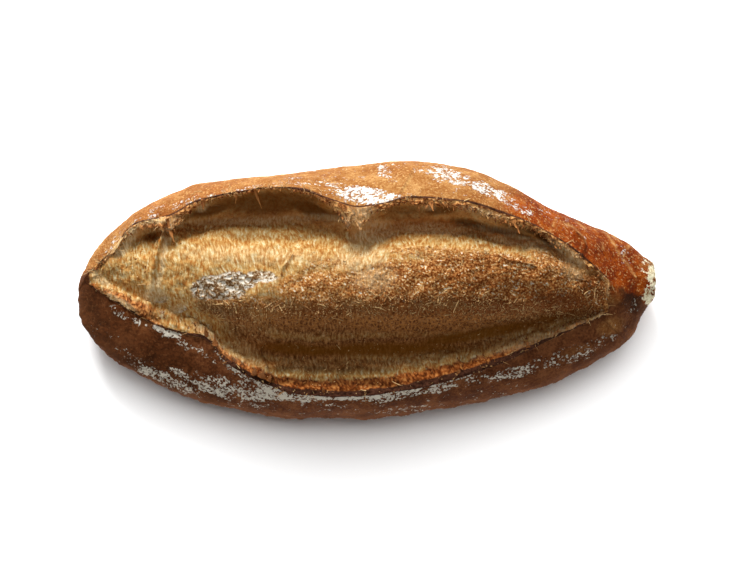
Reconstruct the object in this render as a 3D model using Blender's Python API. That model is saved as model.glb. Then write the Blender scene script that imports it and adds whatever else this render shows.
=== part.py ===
"""A pain de campagne: a long country loaf on a flat base, torn open along its top by one long score.

The loaf lies along X with its blunt end at -X, and its raised ear is on the +Y side. The base is the
plane Z = 0, and the origin is under the middle of the loaf. Sizes are in millimetres until the mesh
is made. Each feature line below is a short table of points, and a smooth line is drawn through them.
"""

import bmesh
import bpy
import numpy as np
from mathutils import Matrix, Vector, noise

MM = 0.001
LENGTH = 290.0
HALF = LENGTH / 2
LEFT_TIP = (-HALF, -4.0, 25.0)
RIGHT_TIP = (HALF, 6.0, 25.0)

# Where the crust is widest on each side: x, y, z
FAR_SIDE = (
    LEFT_TIP, (-142, 11, 25), (-134.5, 23.5, 26), (-114, 41, 28), (-84, 53.6, 29), (-62, 55.6, 30),
    (-50, 56.4, 30), (-34, 58.6, 30), (-20, 60.8, 30), (20, 65, 30), (50, 61.5, 30), (70, 54, 29.5),
    (80, 48.6, 29), (88, 44.2, 28.5), (94, 41.2, 28.2), (102, 38.2, 28), (120, 31, 27), (135, 23, 26),
    (142.5, 14, 25), RIGHT_TIP,
)
NEAR_SIDE = (
    LEFT_TIP, (-142, -15.8, 25), (-134.5, -26.8, 25), (-114, -41.5, 25), (-94, -50.6, 24.5),
    (-64, -59, 24), (-35, -63.4, 24), (0, -63.6, 24), (30, -59.9, 24), (60, -54.3, 24),
    (90, -46.7, 24.5), (120, -32, 25), (134.5, -21, 25), (139.8, -8.5, 25), (143, -1, 25), RIGHT_TIP,
)
# The crust's edge along each side of the split. Past its ends these lines run on over the whole crust
FAR_LIP = (
    LEFT_TIP, (-140, 7, 34), (-136, 10.5, 36.5), (-129, 15.8, 40.5), (-123, 21.3, 44.3), (-119, 27, 47),
    (-112, 31, 51), (-105, 32, 54.5), (-98, 32.5, 57.5), (-91, 34.8, 61), (-85.5, 37.8, 63.5),
    (-72, 40.9, 67.5), (-60, 42.3, 70.6), (-50, 43.7, 73), (-32, 42.2, 76.5), (-16, 36.5, 78.5),
    (-3, 33, 79), (8, 34.2, 80),
    (20, 37.3, 80.5), (45, 36, 79), (65, 31.2, 75), (80, 26.5, 71), (98, 17.3, 65), (110, 9, 59),
    (118, 3, 54), (124, -2, 50), (134, 5, 41), RIGHT_TIP,
)
NEAR_LIP = (
    LEFT_TIP, (-140, 3, 32.5), (-135.5, 0.5, 34), (-122.5, -8, 38), (-107, -17.2, 40),
    (-92, -23, 42), (-79, -26.5, 44), (-69, -37.5, 45.5), (-51, -48.6, 48), (-32, -54.8, 50),
    (-10, -56, 51), (17, -53.6, 51.5), (46, -46.8, 50), (66, -39.6, 48.5), (86, -29.6, 45.5),
    (106, -20, 45.5), (119, -14, 46), (124, -10.5, 47), (134, -5, 40), RIGHT_TIP,
)
# How far the torn crumb stands in from each crust edge, and how far below it: x, reach, drop
FAR_TEAR = (
    (-140, 0.6, 0.3), (-128, 1.5, 0.5), (-118, 3, 0.6), (-104, 4, 0.8), (-98, 7, 1.2), (-92, 6.5, 1.2),
    (-84, 2, 0.8), (-72, 0.8, 0.5), (-50, 0.8, 0.5), (-25, 1.2, 0.6), (-14, 5, 1.8), (-7, 10, 2.6),
    (-2, 10, 2.6), (4, 4, 1.2), (12, 2.2, 0.8), (24, 3.2, 1), (34, 3, 0.8), (50, 3.6, 1), (66, 4.4, 1.2),
    (76, 3.2, 1), (95, 3.8, 1), (105, 3, 0.8), (118, 1.2, 0.4), (124, 0.5, 0.2),
)
NEAR_TEAR = (
    (-140, 0.6, 0), (-128, 4, 0.3), (-112, 8, 0.8), (-100, 9, 1.2), (-90, 7.5, 1), (-80, 6, 0.6),
    (-66, 5.5, 0.8), (-40, 8, 1.3), (0, 9, 1.5), (46, 8.6, 1.4), (66, 7, 1.2), (86, 4.6, 0.8),
    (104, 2.4, 0.5), (118, 1, 0.3), (124, 0.5, 0.2),
)
# How far the hollow behind the ear runs back under it: x, undercut
UNDERCUT = ((-140, 0), (-118, 0.5), (-110, 4), (-100, 0.5), (-88, 3), (-50, 6), (-16, 3), (-3, 0.5),
            (8, 3), (25, 6.5), (60, 5.5), (90, 2.5), (110, 0.5), (124, 0))
# The swollen crumb inside the split, from its near furrow over the crest to the furrow under the ear
NEAR_FURROW = (
    (-140, 4.5, 33), (-132, 4, 35), (-120, -0.7, 36.5), (-107, -6.3, 38), (-92, -13, 40),
    (-80, -18.9, 41.5), (-67, -28, 40), (-52, -32.5, 41), (-32, -34, 42.5), (-10, -34, 43.5),
    (10, -33, 44), (30, -30.5, 44), (47, -27, 43), (66, -23, 41.5), (86, -18.9, 39.5),
    (107, -15.2, 41.5), (118, -12.5, 44.5), (124, -9, 47),
)
NEAR_SHOULDER = (
    (-140, 5, 33.4), (-132, 6.5, 36), (-120, 4, 39.5), (-107, 1, 45), (-92, -4, 51), (-80, -8, 55.5),
    (-67, -12, 60), (-52, -14, 63.5), (-32, -15, 65.5), (-10, -15.5, 67), (10, -15.5, 68),
    (30, -15, 68.5), (47, -14, 67.5), (66, -12.5, 64), (86, -11.5, 58.5), (107, -10.5, 51),
    (118, -9.5, 47.8), (124, -8, 48),
)
CREST = (
    (-140, 5, 34), (-132, 7.5, 37), (-120, 12, 42.5), (-107, 12, 48), (-92, 11, 55), (-80, 9.5, 60),
    (-60, 8, 66), (-40, 7.5, 69), (-20, 6.5, 71), (-3, 3, 71.5), (15, 6, 74), (40, 7, 74.5),
    (60, 6, 72.5), (80, 4.5, 68.5), (100, 1.5, 61), (110, -2, 56.5), (118, -5, 52.5), (124, -6.5, 49.5),
)
FAR_SHOULDER = (
    (-140, 6, 34), (-132, 10, 37.7), (-126, 14, 40.5), (-120, 18, 42.3), (-107, 22, 45.5),
    (-92, 23.5, 51), (-72, 23.5, 56.5), (-51, 22, 60.5), (-32, 20, 63.5), (-17, 17.5, 65.5), (-3, 14, 66.5),
    (7, 17, 67.5), (17, 20, 68), (36, 21, 68), (51, 19, 67), (65, 16.5, 65), (75, 15.5, 64),
    (86, 14.5, 62.7), (98, 9.5, 59.8), (107, 6, 57.3), (118, 0, 52.8), (124, -5, 50),
)
FAR_FURROW = (
    (-140, 6.5, 34), (-132, 12, 37.5), (-126, 16, 40), (-120, 21.5, 41), (-112, 26, 39.5),
    (-100, 28, 42), (-88, 32, 44), (-72, 35, 47), (-51, 38, 50), (-32, 36, 53), (-17, 31, 57.5),
    (-3, 25.5, 62), (7, 28.5, 60), (17, 32, 57.5), (36, 31.5, 57.5), (51, 29, 57), (65, 26, 57),
    (75, 22.5, 57.5), (86, 19.5, 58.5), (98, 13.3, 58), (107, 8.5, 57), (118, 1, 53), (124, -3, 50),
)
SPLIT_ENDS = (-140.0, 124.0)
SPLIT_FADES = (4.0, 9.0)

# The flat base's share of the width, and how far before each tip it starts to lift off the table
BASE_SHARE = 0.74
BASE_LIFT = 24.0
# How steeply the crust still climbs where it reaches the split, as a share of its mean slope
CRUST_ARRIVAL = 0.36

# The thin wall of crumb that parts the small pocket at the blunt end from the main split
WALL_X, WALL_LEAN = -106.0, 0.22
WALL_HEIGHT, WALL_THICK = 3.2, 2.2
WALL_Y, WALL_FADE = (-8.0, 30.0), 4.0

# The rough flat patch at the sharper tip, where another loaf touched: its middle, radius and height
KISS_AT, KISS_RADIUS, KISS_HEIGHT = (141.0, 5.0, 27.0), 18.0, 3.5

# Tongues of torn crust and crumb along the split: x, +1 on the far lip or -1 on the near one, length,
# width, and how far the tongue points up out of the split's level, in degrees
FLAKES = (
    (-104, 1, 5, 4, -50), (-92, 1, 6, 4, -35), (-57, 1, 7, 3, -60), (-14, 1, 7, 7, -35), (-2, 1, 8, 9, -30),
    (9, 1, 5, 5, -30), (31, 1, 6, 6, -25), (40, 1, 5, 4, -30), (60, 1, 6, 5, -30), (71, 1, 6, 5, -25),
    (92, 1, 5, 4, -30), (-77, -1, 7, 5, 25), (-71, -1, 8, 6, 10), (-50, -1, 8, 5, 45), (-20, -1, 5, 4, 40),
    (8, -1, 5, 5, 35), (45, -1, 5, 3, 50), (80, -1, 5, 4, 30), (-118, -1, 6, 7, 25),
)
FLAKE_THICK, FLAKE_ROOT, FLAKE_SIDES = 1.6, 1.4, 6
# How wide a tongue's broken end is, as a share of its root, and how far it may turn along the loaf
FLAKE_END, FLAKE_TURN = 0.3, 0.35

# How many steps each stretch of a cross-section is drawn with, going round from the base's near edge
STATIONS, TIP_CROWDING = 104, 0.75
UNDERSIDE_STEPS, NEAR_CRUST_STEPS, FAR_CRUST_STEPS, TEAR_STEPS = 3, 6, 7, 2
CRUMB_STEPS = (4, 5, 4, 4, 4, 3, 3)

# Uneven relief: the height and spacing of the crust's bumps and the crumb's, over an even foot
CRUST_BUMPS, CRUST_SPACING = 0.7, 17.0
CRUMB_BUMPS, CRUMB_SPACING = 1.1, 8.0
FINER = 0.45
EVEN_FOOT = 8.0
# How much the torn crumb's width varies, as a share of it, and how far apart its wide places are
TORN_EDGE, TORN_SPACING = 0.6, 9.0


def turn(x):
    """The angle round the loaf's length that x stands at, so that lines close round the tips."""
    return np.arccos(np.clip(-np.asarray(x, float) / HALF, -1, 1))


def along(table, x):
    """The table's other columns at each x, on a smooth line that doesn't overshoot its points."""
    rows = np.array(table, float)
    at, known = turn(rows[:, 0]), rows[:, 1:]
    step = np.diff(at)[:, None]
    slope = np.diff(known, axis=0) / step
    before, after = slope[:-1], slope[1:]
    same_way = before * after > 0
    mean = 2 * before * after / np.where(same_way, before + after, 1)
    tangent = np.concatenate([slope[:1], np.where(same_way, mean, 0), slope[-1:]])
    t = np.clip(turn(x), at[0], at[-1])
    i = np.clip(np.searchsorted(at, t) - 1, 0, len(at) - 2)
    u, h = ((t - at[i]) / step[i, 0])[:, None], step[i]
    return (
        (1 + 2 * u) * (1 - u) ** 2 * known[i] + u * (1 - u) ** 2 * h * tangent[i]
        + u * u * (3 - 2 * u) * known[i + 1] - u * u * (1 - u) * h * tangent[i + 1]
    )


def smoothstep(low, high, value):
    t = np.clip((value - low) / (high - low), 0, 1)
    return t * t * (3 - 2 * t)


def bezier(start, first, second, end, steps):
    """Points along a cubic curve in every cross-section at once, without its last one."""
    t = (np.arange(steps) / steps)[None, :, None]
    a, b, c, d = (p[:, None, :] for p in (start, first, second, end))
    return (1 - t) ** 3 * a + 3 * t * (1 - t) ** 2 * b + 3 * t * t * (1 - t) * c + t ** 3 * d


def through(points, steps):
    """A smooth curve through each cross-section's points, without its last one."""
    tangent = np.gradient(points, axis=1)
    pieces = []
    for i, count in enumerate(steps):
        a, b = points[:, i], points[:, i + 1]
        pieces.append(bezier(a, a + tangent[:, i] / 3, b - tangent[:, i + 1] / 3, b, count))
    return np.concatenate(pieces, axis=1)


def uneven(x, spacing, seed):
    """A seeded wavy line, from about -1 to 1."""
    return np.array([noise.noise(Vector((v / spacing, seed, 0.0))) for v in x])


def offset(points, across, up):
    return points + np.stack(np.broadcast_arrays(across, up), axis=1)


def crumb_line(x, near, far):
    """From the near crust edge down the tear, over the swollen crumb and up under the ear."""
    reach, drop = along(NEAR_TEAR, x).T
    near_rim = offset(near, reach * (1 + TORN_EDGE * uneven(x, TORN_SPACING, 3.0)), -drop)
    reach, drop = along(FAR_TEAR, x).T
    reach = reach * (1 + TORN_EDGE * uneven(x, TORN_SPACING, 7.0))
    far_rim = offset(far, -reach, -drop)
    furrow = along(FAR_FURROW, x)
    recess = 0.5 * (furrow + far)
    recess[:, 0] = far[:, 0] - reach * 0.3 + along(UNDERCUT, x)[:, 0] * 0.5
    body = [near_rim, along(NEAR_FURROW, x), along(NEAR_SHOULDER, x), along(CREST, x),
            along(FAR_SHOULDER, x), furrow, recess, far_rim]
    tears = np.arange(TEAR_STEPS) / TEAR_STEPS
    fade = tears[None, :, None]
    near_tear = near[:, None] * (1 - fade) + near_rim[:, None] * fade
    far_tear = far_rim[:, None] * (1 - fade) + far[:, None] * fade
    return np.concatenate([near_tear, through(np.stack(body, axis=1), CRUMB_STEPS), far_tear], axis=1)


def down(arc, top):
    """An upward arc turned round: from its top, which it leaves out, to just above its foot."""
    return np.concatenate([top[:, None], arc[:, :0:-1]], axis=1)


def underside(base, side):
    """From the base's edge, which it leaves nearly flat, round to where the crust is widest."""
    out, up = (side - base).T
    first, second = offset(base, out * 0.7, up * 0.05), offset(side, 0, -up * 0.5)
    return bezier(base, first, second, side, UNDERSIDE_STEPS)


def crust(side, lip, steps):
    """From where the crust is widest, which it leaves straight up, to its torn edge."""
    inward, up = (lip - side).T
    last = offset(lip, -inward * 0.45, -up * 0.45 * CRUST_ARRIVAL)
    return bezier(side, offset(side, 0, up * 0.55), last, lip, steps)


def closed_crust(near, far, near_side, far_side, count):
    """What the split's points lie on past its ends: the whole crust, domed on from its two sides."""
    t = np.arange(count) / count
    slope = CRUST_ARRIVAL * 0.5 * ((near - near_side)[:, 1] + (far - far_side)[:, 1])
    slope = slope / (0.5 * ((near - near_side)[:, 0] + (far_side - far)[:, 0]))
    line = near[:, None] * (1 - t[None, :, None]) + far[:, None] * t[None, :, None]
    line[:, :, 1] += (slope * (far - near)[:, 0])[:, None] * t * (1 - t)
    return line


def sections(x):
    """The y and z of every point round the cross-sections at x, and which points lie in the split."""
    far_side, near_side = along(FAR_SIDE, x), along(NEAR_SIDE, x)
    far, near = along(FAR_LIP, x), along(NEAR_LIP, x)
    past = np.clip((np.abs(x) - (HALF - BASE_LIFT)) / BASE_LIFT, 0, 1)
    lift = LEFT_TIP[2] * (1 - np.sqrt(1 - past ** 2))
    middle, half = (far_side + near_side)[:, 0] / 2, (far_side - near_side)[:, 0] / 2
    far_base = np.stack([middle + half * BASE_SHARE, lift], axis=1)
    near_base = np.stack([middle - half * BASE_SHARE, lift], axis=1)

    first, last = SPLIT_ENDS
    opened = smoothstep(first, first + SPLIT_FADES[0], x) * (1 - smoothstep(last - SPLIT_FADES[1], last, x))
    crumb = crumb_line(x, near, far)
    whole = closed_crust(near, far, near_side, far_side, crumb.shape[1])
    crumb = crumb * opened[:, None, None] + whole * (1 - opened)[:, None, None]

    ring = np.concatenate([
        underside(near_base, near_side),
        crust(near_side, near, NEAR_CRUST_STEPS),
        crumb,
        down(crust(far_side, far, FAR_CRUST_STEPS), far),
        down(underside(far_base, far_side), far_side),
        far_base[:, None],
    ], axis=1)
    in_split = np.zeros(ring.shape[:2], bool)
    start = UNDERSIDE_STEPS + NEAR_CRUST_STEPS
    in_split[opened > 0.5, start:start + crumb.shape[1]] = True
    return ring, in_split


def stations():
    """Where the cross-sections stand: evenly along the loaf, and closer together towards its tips."""
    share = np.linspace(0, 1, STATIONS + 2)[1:-1]
    return HALF * ((1 - TIP_CROWDING) * (2 * share - 1) - TIP_CROWDING * np.cos(np.pi * share))


def raise_wall(points, in_split):
    """Lifts the crumb along the thin wall between the pocket and the main split."""
    x, y = points[..., 0], points[..., 1]
    ridge = np.exp(-((x - WALL_X - WALL_LEAN * y) / WALL_THICK) ** 2)
    starts = smoothstep(WALL_Y[0] - WALL_FADE, WALL_Y[0] + WALL_FADE, y)
    ends = smoothstep(WALL_Y[1] - WALL_FADE, WALL_Y[1] + WALL_FADE, y)
    points[..., 2] += WALL_HEIGHT * ridge * starts * (1 - ends) * in_split


def push_out_kiss(points):
    """Makes the rough patch at the sharper tip stand out of the crust, no further than the tip itself."""
    near = np.linalg.norm(points - np.array(KISS_AT), axis=-1) / KISS_RADIUS
    pushed = points[..., 0] + KISS_HEIGHT * (1 - smoothstep(0.35, 1, near))
    points[..., 0] = np.minimum(pushed, RIGHT_TIP[0] - 0.2)


def loft(points, in_split):
    """A closed mesh through the rings of points, with a tip at each end. Its split faces are crumb."""
    bm = bmesh.new()
    rings = [[bm.verts.new(Vector(p) * MM) for p in ring] for ring in points]
    count = len(rings[0])
    for a, b, crumb in zip(rings, rings[1:], in_split):
        for i in range(count):
            j = (i + 1) % count
            face = bm.faces.new((a[i], b[i], b[j], a[j]))
            face.material_index = int(crumb[i])
    for tip, ring in ((LEFT_TIP, rings[0]), (RIGHT_TIP, rings[-1])):
        centre = bm.verts.new(Vector(tip) * MM)
        for i in range(count):
            bm.faces.new((centre, ring[i], ring[(i + 1) % count]))
    bmesh.ops.recalc_face_normals(bm, faces=bm.faces)
    bm.normal_update()
    return bm


def add_relief(bm):
    """Pushes the crust and the crumb in and out by seeded noise. The flat base stays as it is."""
    moves = []
    for vert in bm.verts:
        crumb = sum(face.material_index for face in vert.link_faces) / len(vert.link_faces)
        height, spacing = (CRUMB_BUMPS, CRUMB_SPACING) if crumb > 0.5 else (CRUST_BUMPS, CRUST_SPACING)
        place = vert.co / (spacing * MM)
        bump = noise.noise(place) + 0.5 * noise.noise(place / FINER)
        above_foot = min(1.0, max(0.0, vert.co.z / (EVEN_FOOT * MM)))
        moves.append(vert.normal * bump * height * above_foot * MM)
    for vert, move in zip(bm.verts, moves):
        vert.co += move


def material(name, colour, roughness):
    made = bpy.data.materials.new(name)
    made.use_nodes = True
    shader = made.node_tree.nodes["Principled BSDF"]
    shader.inputs["Base Color"].default_value = (*colour, 1)
    shader.inputs["Roughness"].default_value = roughness
    shader.inputs["Metallic"].default_value = 0
    return made


def flake(x, side, length, width, angle):
    """A flat pointed tongue of torn bread, rooted in the torn edge on one side of the split."""
    lip = along(FAR_LIP if side > 0 else NEAR_LIP, [x])[0]
    reach, drop = along(FAR_TEAR if side > 0 else NEAR_TEAR, [x])[0]
    turned = FLAKE_TURN * noise.noise(Vector((x / TORN_SPACING, 11.0, 0.0)))
    climb = np.radians(angle)
    out = Vector((np.sin(turned), -side * np.cos(climb), np.sin(climb))).normalized()
    wide = Vector((1, 0, 0)) - out * out.x
    wide.normalize()
    axes = Matrix((wide, out.cross(wide), out)).transposed().to_4x4()
    root = Vector((x, lip[0] - side * reach, lip[1] - drop)) - out * FLAKE_ROOT
    place = Matrix.Translation((root + out * (length + FLAKE_ROOT) / 2) * MM) @ axes
    flat = Matrix.Diagonal((1, FLAKE_THICK / width, 1, 1))
    bm = bmesh.new()
    bmesh.ops.create_cone(
        bm, cap_ends=True, segments=FLAKE_SIDES, radius1=width / 2 * MM, radius2=width / 2 * FLAKE_END * MM,
        depth=(length + FLAKE_ROOT) * MM, matrix=place @ flat,
    )
    mesh = bpy.data.meshes.new("flake")
    bm.to_mesh(mesh)
    bm.free()
    return bpy.data.objects.new("flake", mesh)


def fuse_flakes(loaf, crumb):
    """Joins the torn tongues to the loaf as one solid."""
    flakes = bpy.data.collections.new("flakes")
    bpy.context.scene.collection.children.link(flakes)
    for row in FLAKES:
        made = flake(*row)
        made.data.materials.append(crumb)
        flakes.objects.link(made)
    union = loaf.modifiers.new("torn flakes", "BOOLEAN")
    union.operation = "UNION"
    union.solver = "MANIFOLD"
    union.operand_type = "COLLECTION"
    union.collection = flakes
    loaf.data = bpy.data.meshes.new_from_object(loaf.evaluated_get(bpy.context.evaluated_depsgraph_get()))
    loaf.modifiers.clear()
    for made in list(flakes.objects):
        bpy.data.objects.remove(made)
    bpy.data.collections.remove(flakes)


def finish(mesh):
    """Makes the flat base one face, and puts the origin under the middle of the loaf."""
    bm = bmesh.new()
    bm.from_mesh(mesh)
    flat = [f for f in bm.faces if all(abs(v.co.z) < 1e-7 for v in f.verts)]
    bmesh.ops.dissolve_faces(bm, faces=flat, use_verts=True)
    for axis in (0, 1):
        places = [v.co[axis] for v in bm.verts]
        middle = (min(places) + max(places)) / 2
        for v in bm.verts:
            v.co[axis] -= middle
    bm.to_mesh(mesh)
    bm.free()
    mesh.shade_smooth()
    mesh.set_sharp_from_angle(angle=np.radians(50))


def build():
    for obj in list(bpy.data.objects):
        bpy.data.objects.remove(obj)
    collection = bpy.data.collections.new("pain_de_campagne")
    bpy.context.scene.collection.children.link(collection)
    x = stations()
    ring, in_split = sections(x)
    points = np.concatenate([np.broadcast_to(x[:, None, None], (*ring.shape[:2], 1)), ring], axis=2)
    raise_wall(points, in_split)
    push_out_kiss(points)
    bm = loft(points, in_split)
    add_relief(bm)
    mesh = bpy.data.meshes.new("loaf")
    bm.to_mesh(mesh)
    bm.free()
    crumb = material("crumb", (0.62, 0.40, 0.19), 0.85)
    mesh.materials.append(material("crust", (0.36, 0.15, 0.05), 0.6))
    mesh.materials.append(crumb)
    loaf = bpy.data.objects.new("loaf", mesh)
    collection.objects.link(loaf)
    fuse_flakes(loaf, crumb)
    finish(loaf.data)


build()
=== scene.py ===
"""The looks of a pain de campagne: its crust, torn crumb, flour, light, floor and camera.

The loaf's detailed surface is drawn in millimetres through nearly the same feature lines as its solid: the
furrow under the ear and the pocket's wall stand a little higher here. It lies along X with its blunt end at
-X, and its raised ear is on the +Y side. A place on the loaf that is read off the photograph is given in
the photograph's pixels, 738 wide and 567 high.
"""

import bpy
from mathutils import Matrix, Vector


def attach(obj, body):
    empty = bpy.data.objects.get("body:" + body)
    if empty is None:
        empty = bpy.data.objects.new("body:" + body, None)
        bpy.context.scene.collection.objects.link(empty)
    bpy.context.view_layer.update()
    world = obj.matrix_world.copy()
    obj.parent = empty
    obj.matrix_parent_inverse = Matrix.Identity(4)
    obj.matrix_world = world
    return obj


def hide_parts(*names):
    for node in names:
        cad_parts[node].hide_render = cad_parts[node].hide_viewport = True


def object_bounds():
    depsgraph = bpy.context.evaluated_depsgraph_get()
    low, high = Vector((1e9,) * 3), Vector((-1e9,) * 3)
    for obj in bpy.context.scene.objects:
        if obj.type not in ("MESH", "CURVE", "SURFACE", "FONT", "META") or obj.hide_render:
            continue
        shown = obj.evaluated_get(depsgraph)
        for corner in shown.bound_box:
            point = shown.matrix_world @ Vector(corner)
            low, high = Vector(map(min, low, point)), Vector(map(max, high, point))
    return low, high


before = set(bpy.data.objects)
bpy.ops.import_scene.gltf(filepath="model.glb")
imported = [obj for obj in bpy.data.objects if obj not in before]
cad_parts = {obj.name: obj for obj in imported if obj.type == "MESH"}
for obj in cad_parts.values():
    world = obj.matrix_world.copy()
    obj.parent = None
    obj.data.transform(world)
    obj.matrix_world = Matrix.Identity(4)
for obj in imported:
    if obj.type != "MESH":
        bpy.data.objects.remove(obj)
CAD_BOX = [list(corner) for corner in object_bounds()]

import math

import bpy
import numpy as np
from mathutils import Vector, noise

MM = 0.001
HALF = 145.0
LEFT_TIP = (-HALF, -4.0, 25.0)
RIGHT_TIP = (HALF, 6.0, 25.0)

# Where the crust is widest on each side: x, y, z
FAR_SIDE = (
    LEFT_TIP, (-142, 11, 25), (-134.5, 23.5, 26), (-114, 41, 28), (-84, 53.6, 29), (-62, 55.6, 30),
    (-50, 56.4, 30), (-34, 58.6, 30), (-20, 60.8, 30), (20, 65, 30), (50, 61.5, 30), (70, 54, 29.5),
    (80, 48.6, 29), (88, 44.2, 28.5), (94, 41.2, 28.2), (102, 38.2, 28), (120, 31, 27), (135, 23, 26),
    (142.5, 14, 25), RIGHT_TIP,
)
NEAR_SIDE = (
    LEFT_TIP, (-142, -15.8, 25), (-134.5, -26.8, 25), (-114, -41.5, 25), (-94, -50.6, 24.5),
    (-64, -59, 24), (-35, -63.4, 24), (0, -63.6, 24), (30, -59.9, 24), (60, -54.3, 24),
    (90, -46.7, 24.5), (120, -32, 25), (134.5, -21, 25), (139.8, -8.5, 25), (143, -1, 25), RIGHT_TIP,
)
# The crust's edge along each side of the split. Past its ends these lines run on over the whole crust
FAR_LIP = (
    LEFT_TIP, (-140, 7, 34), (-136, 10.5, 36.5), (-129, 15.8, 40.5), (-123, 21.3, 44.3), (-119, 27, 47),
    (-112, 31, 51), (-105, 32, 54.5), (-98, 32.5, 57.5), (-91, 34.8, 61), (-85.5, 37.8, 63.5),
    (-72, 40.9, 67.5), (-60, 42.3, 70.6), (-50, 43.7, 73), (-32, 42.2, 76.5), (-16, 36.5, 78.5),
    (-3, 33, 79), (8, 34.2, 80), (20, 37.3, 80.5), (45, 36, 79), (65, 31.2, 75), (80, 26.5, 71),
    (98, 17.3, 65), (110, 9, 59), (118, 3, 54), (124, -2, 50), (134, 5, 41), RIGHT_TIP,
)
NEAR_LIP = (
    LEFT_TIP, (-140, 3, 32.5), (-135.5, 0.5, 34), (-122.5, -8, 38), (-107, -17.2, 40),
    (-92, -23, 42), (-79, -26.5, 44), (-69, -37.5, 45.5), (-51, -48.6, 48), (-32, -54.8, 50),
    (-10, -56, 51), (17, -53.6, 51.5), (46, -46.8, 50), (66, -39.6, 48.5), (86, -29.6, 45.5),
    (106, -20, 45.5), (119, -14, 46), (124, -10.5, 47), (134, -5, 40), RIGHT_TIP,
)
# How far the torn crumb stands in from each crust edge, and how far below it: x, reach, drop
FAR_TEAR = (
    (-140, 0.6, 0.3), (-128, 1.5, 0.5), (-118, 3, 0.6), (-104, 4, 0.8), (-98, 7, 1.2), (-92, 6.5, 1.2),
    (-84, 2, 0.8), (-72, 0.8, 0.5), (-50, 0.8, 0.5), (-25, 1.2, 0.6), (-14, 5, 1.8), (-7, 10, 2.6),
    (-2, 10, 2.6), (4, 4, 1.2), (12, 2.2, 0.8), (24, 3.2, 1), (34, 3, 0.8), (50, 3.6, 1), (66, 4.4, 1.2),
    (76, 3.2, 1), (95, 3.8, 1), (105, 3, 0.8), (118, 1.2, 0.4), (124, 0.5, 0.2),
)
NEAR_TEAR = (
    (-140, 0.6, 0), (-128, 4, 0.3), (-112, 8, 0.8), (-100, 9, 1.2), (-90, 7.5, 1), (-80, 6, 0.6),
    (-66, 5.5, 0.8), (-40, 8, 1.3), (0, 9, 1.5), (46, 8.6, 1.4), (66, 7, 1.2), (86, 4.6, 0.8),
    (104, 2.4, 0.5), (118, 1, 0.3), (124, 0.5, 0.2),
)
# How wide the burnt edge shows inside the near crust: x, width
BURNT_BAND = (
    (-140, 0.4), (-100, 0.5), (-85, 0.9), (-60, 2.2), (0, 2.8), (60, 3.4), (85, 1.6),
    (105, 0.3), (124, 0.3),
)
# How much flour lies along the near crust edge, and how far out it reaches: x, amount or reach
LIP_FLOUR = (
    (-140, 0), (-86, 0.1), (-66, 0.9), (-40, 1.2), (0, 1.1), (42, 1), (54, 0.6),
    (70, 0.25), (90, 0), (124, 0),
)
FLOUR_REACH = ((-140, 3), (-66, 5), (-30, 6), (-10, 5), (10, 3), (50, 2.4), (124, 2))
# How high the torn crumb's rim stands over the near crust edge: x, height
NEAR_RIDGE = (
    (-140, 0.6), (-128, 2.6), (-116, 2.2), (-100, 1.2), (-75, 0.8), (-50, 1.5), (20, 1.6),
    (80, 1.2), (124, 0.2),
)
# How far the hollow behind the ear runs back under it: x, undercut
UNDERCUT = (
    (-140, 0), (-118, 0.5), (-110, 4), (-100, 0.5), (-88, 3), (-50, 6), (-16, 3), (-3, 0.5),
    (8, 3), (25, 6.5), (60, 5.5), (90, 2.5), (110, 0.5), (124, 0),
)
# The swollen crumb inside the split, from its near furrow over the crest to the furrow under the ear
NEAR_FURROW = (
    (-140, 4.5, 33), (-132, 4, 35), (-120, -0.7, 36.5), (-107, -6.3, 38), (-92, -13, 40),
    (-80, -18.9, 41.5), (-67, -28, 40), (-52, -32.5, 41), (-32, -34, 42.5), (-10, -34, 43.5),
    (10, -33, 44), (30, -30.5, 44), (47, -27, 43), (66, -23, 41.5), (86, -18.9, 39.5),
    (107, -15.2, 41.5), (118, -12.5, 44.5), (124, -9, 47),
)
NEAR_SHOULDER = (
    (-140, 5, 33.4), (-132, 6.5, 36), (-120, 4, 39.5), (-107, 1, 45), (-92, -4, 51), (-80, -8, 55.5),
    (-67, -12, 60), (-52, -14, 63.5), (-32, -15, 65.5), (-10, -15.5, 67), (10, -15.5, 68),
    (30, -15, 68.5), (47, -14, 67.5), (66, -12.5, 64), (86, -11.5, 58.5), (107, -10.5, 51),
    (118, -9.5, 47.8), (124, -8, 48),
)
CREST = (
    (-140, 5, 34), (-132, 7.5, 37), (-120, 12, 42.5), (-107, 12, 48), (-92, 11, 55), (-80, 9.5, 60),
    (-60, 8, 66), (-40, 7.5, 69), (-20, 6.5, 71), (-3, 3, 71.5), (15, 6, 74), (40, 7, 74.5),
    (60, 6, 72.5), (80, 4.5, 68.5), (100, 1.5, 61), (110, -2, 56.5), (118, -5, 52.5), (124, -6.5, 49.5),
)
FAR_SHOULDER = (
    (-140, 6, 34), (-132, 10, 37.7), (-126, 14, 40.5), (-120, 18, 42.3), (-107, 22, 45.5),
    (-92, 23.5, 51), (-72, 23.5, 56.5), (-51, 22, 60.5), (-32, 20, 63.5), (-17, 17.5, 65.5), (-3, 14, 68.3),
    (7, 17, 67.5), (17, 20, 68), (36, 21, 68), (51, 19, 67), (65, 16.5, 65), (75, 15.5, 64),
    (86, 14.5, 62.7), (98, 9.5, 59.8), (107, 6, 57.3), (118, 0, 52.8), (124, -5, 50),
)
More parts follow.
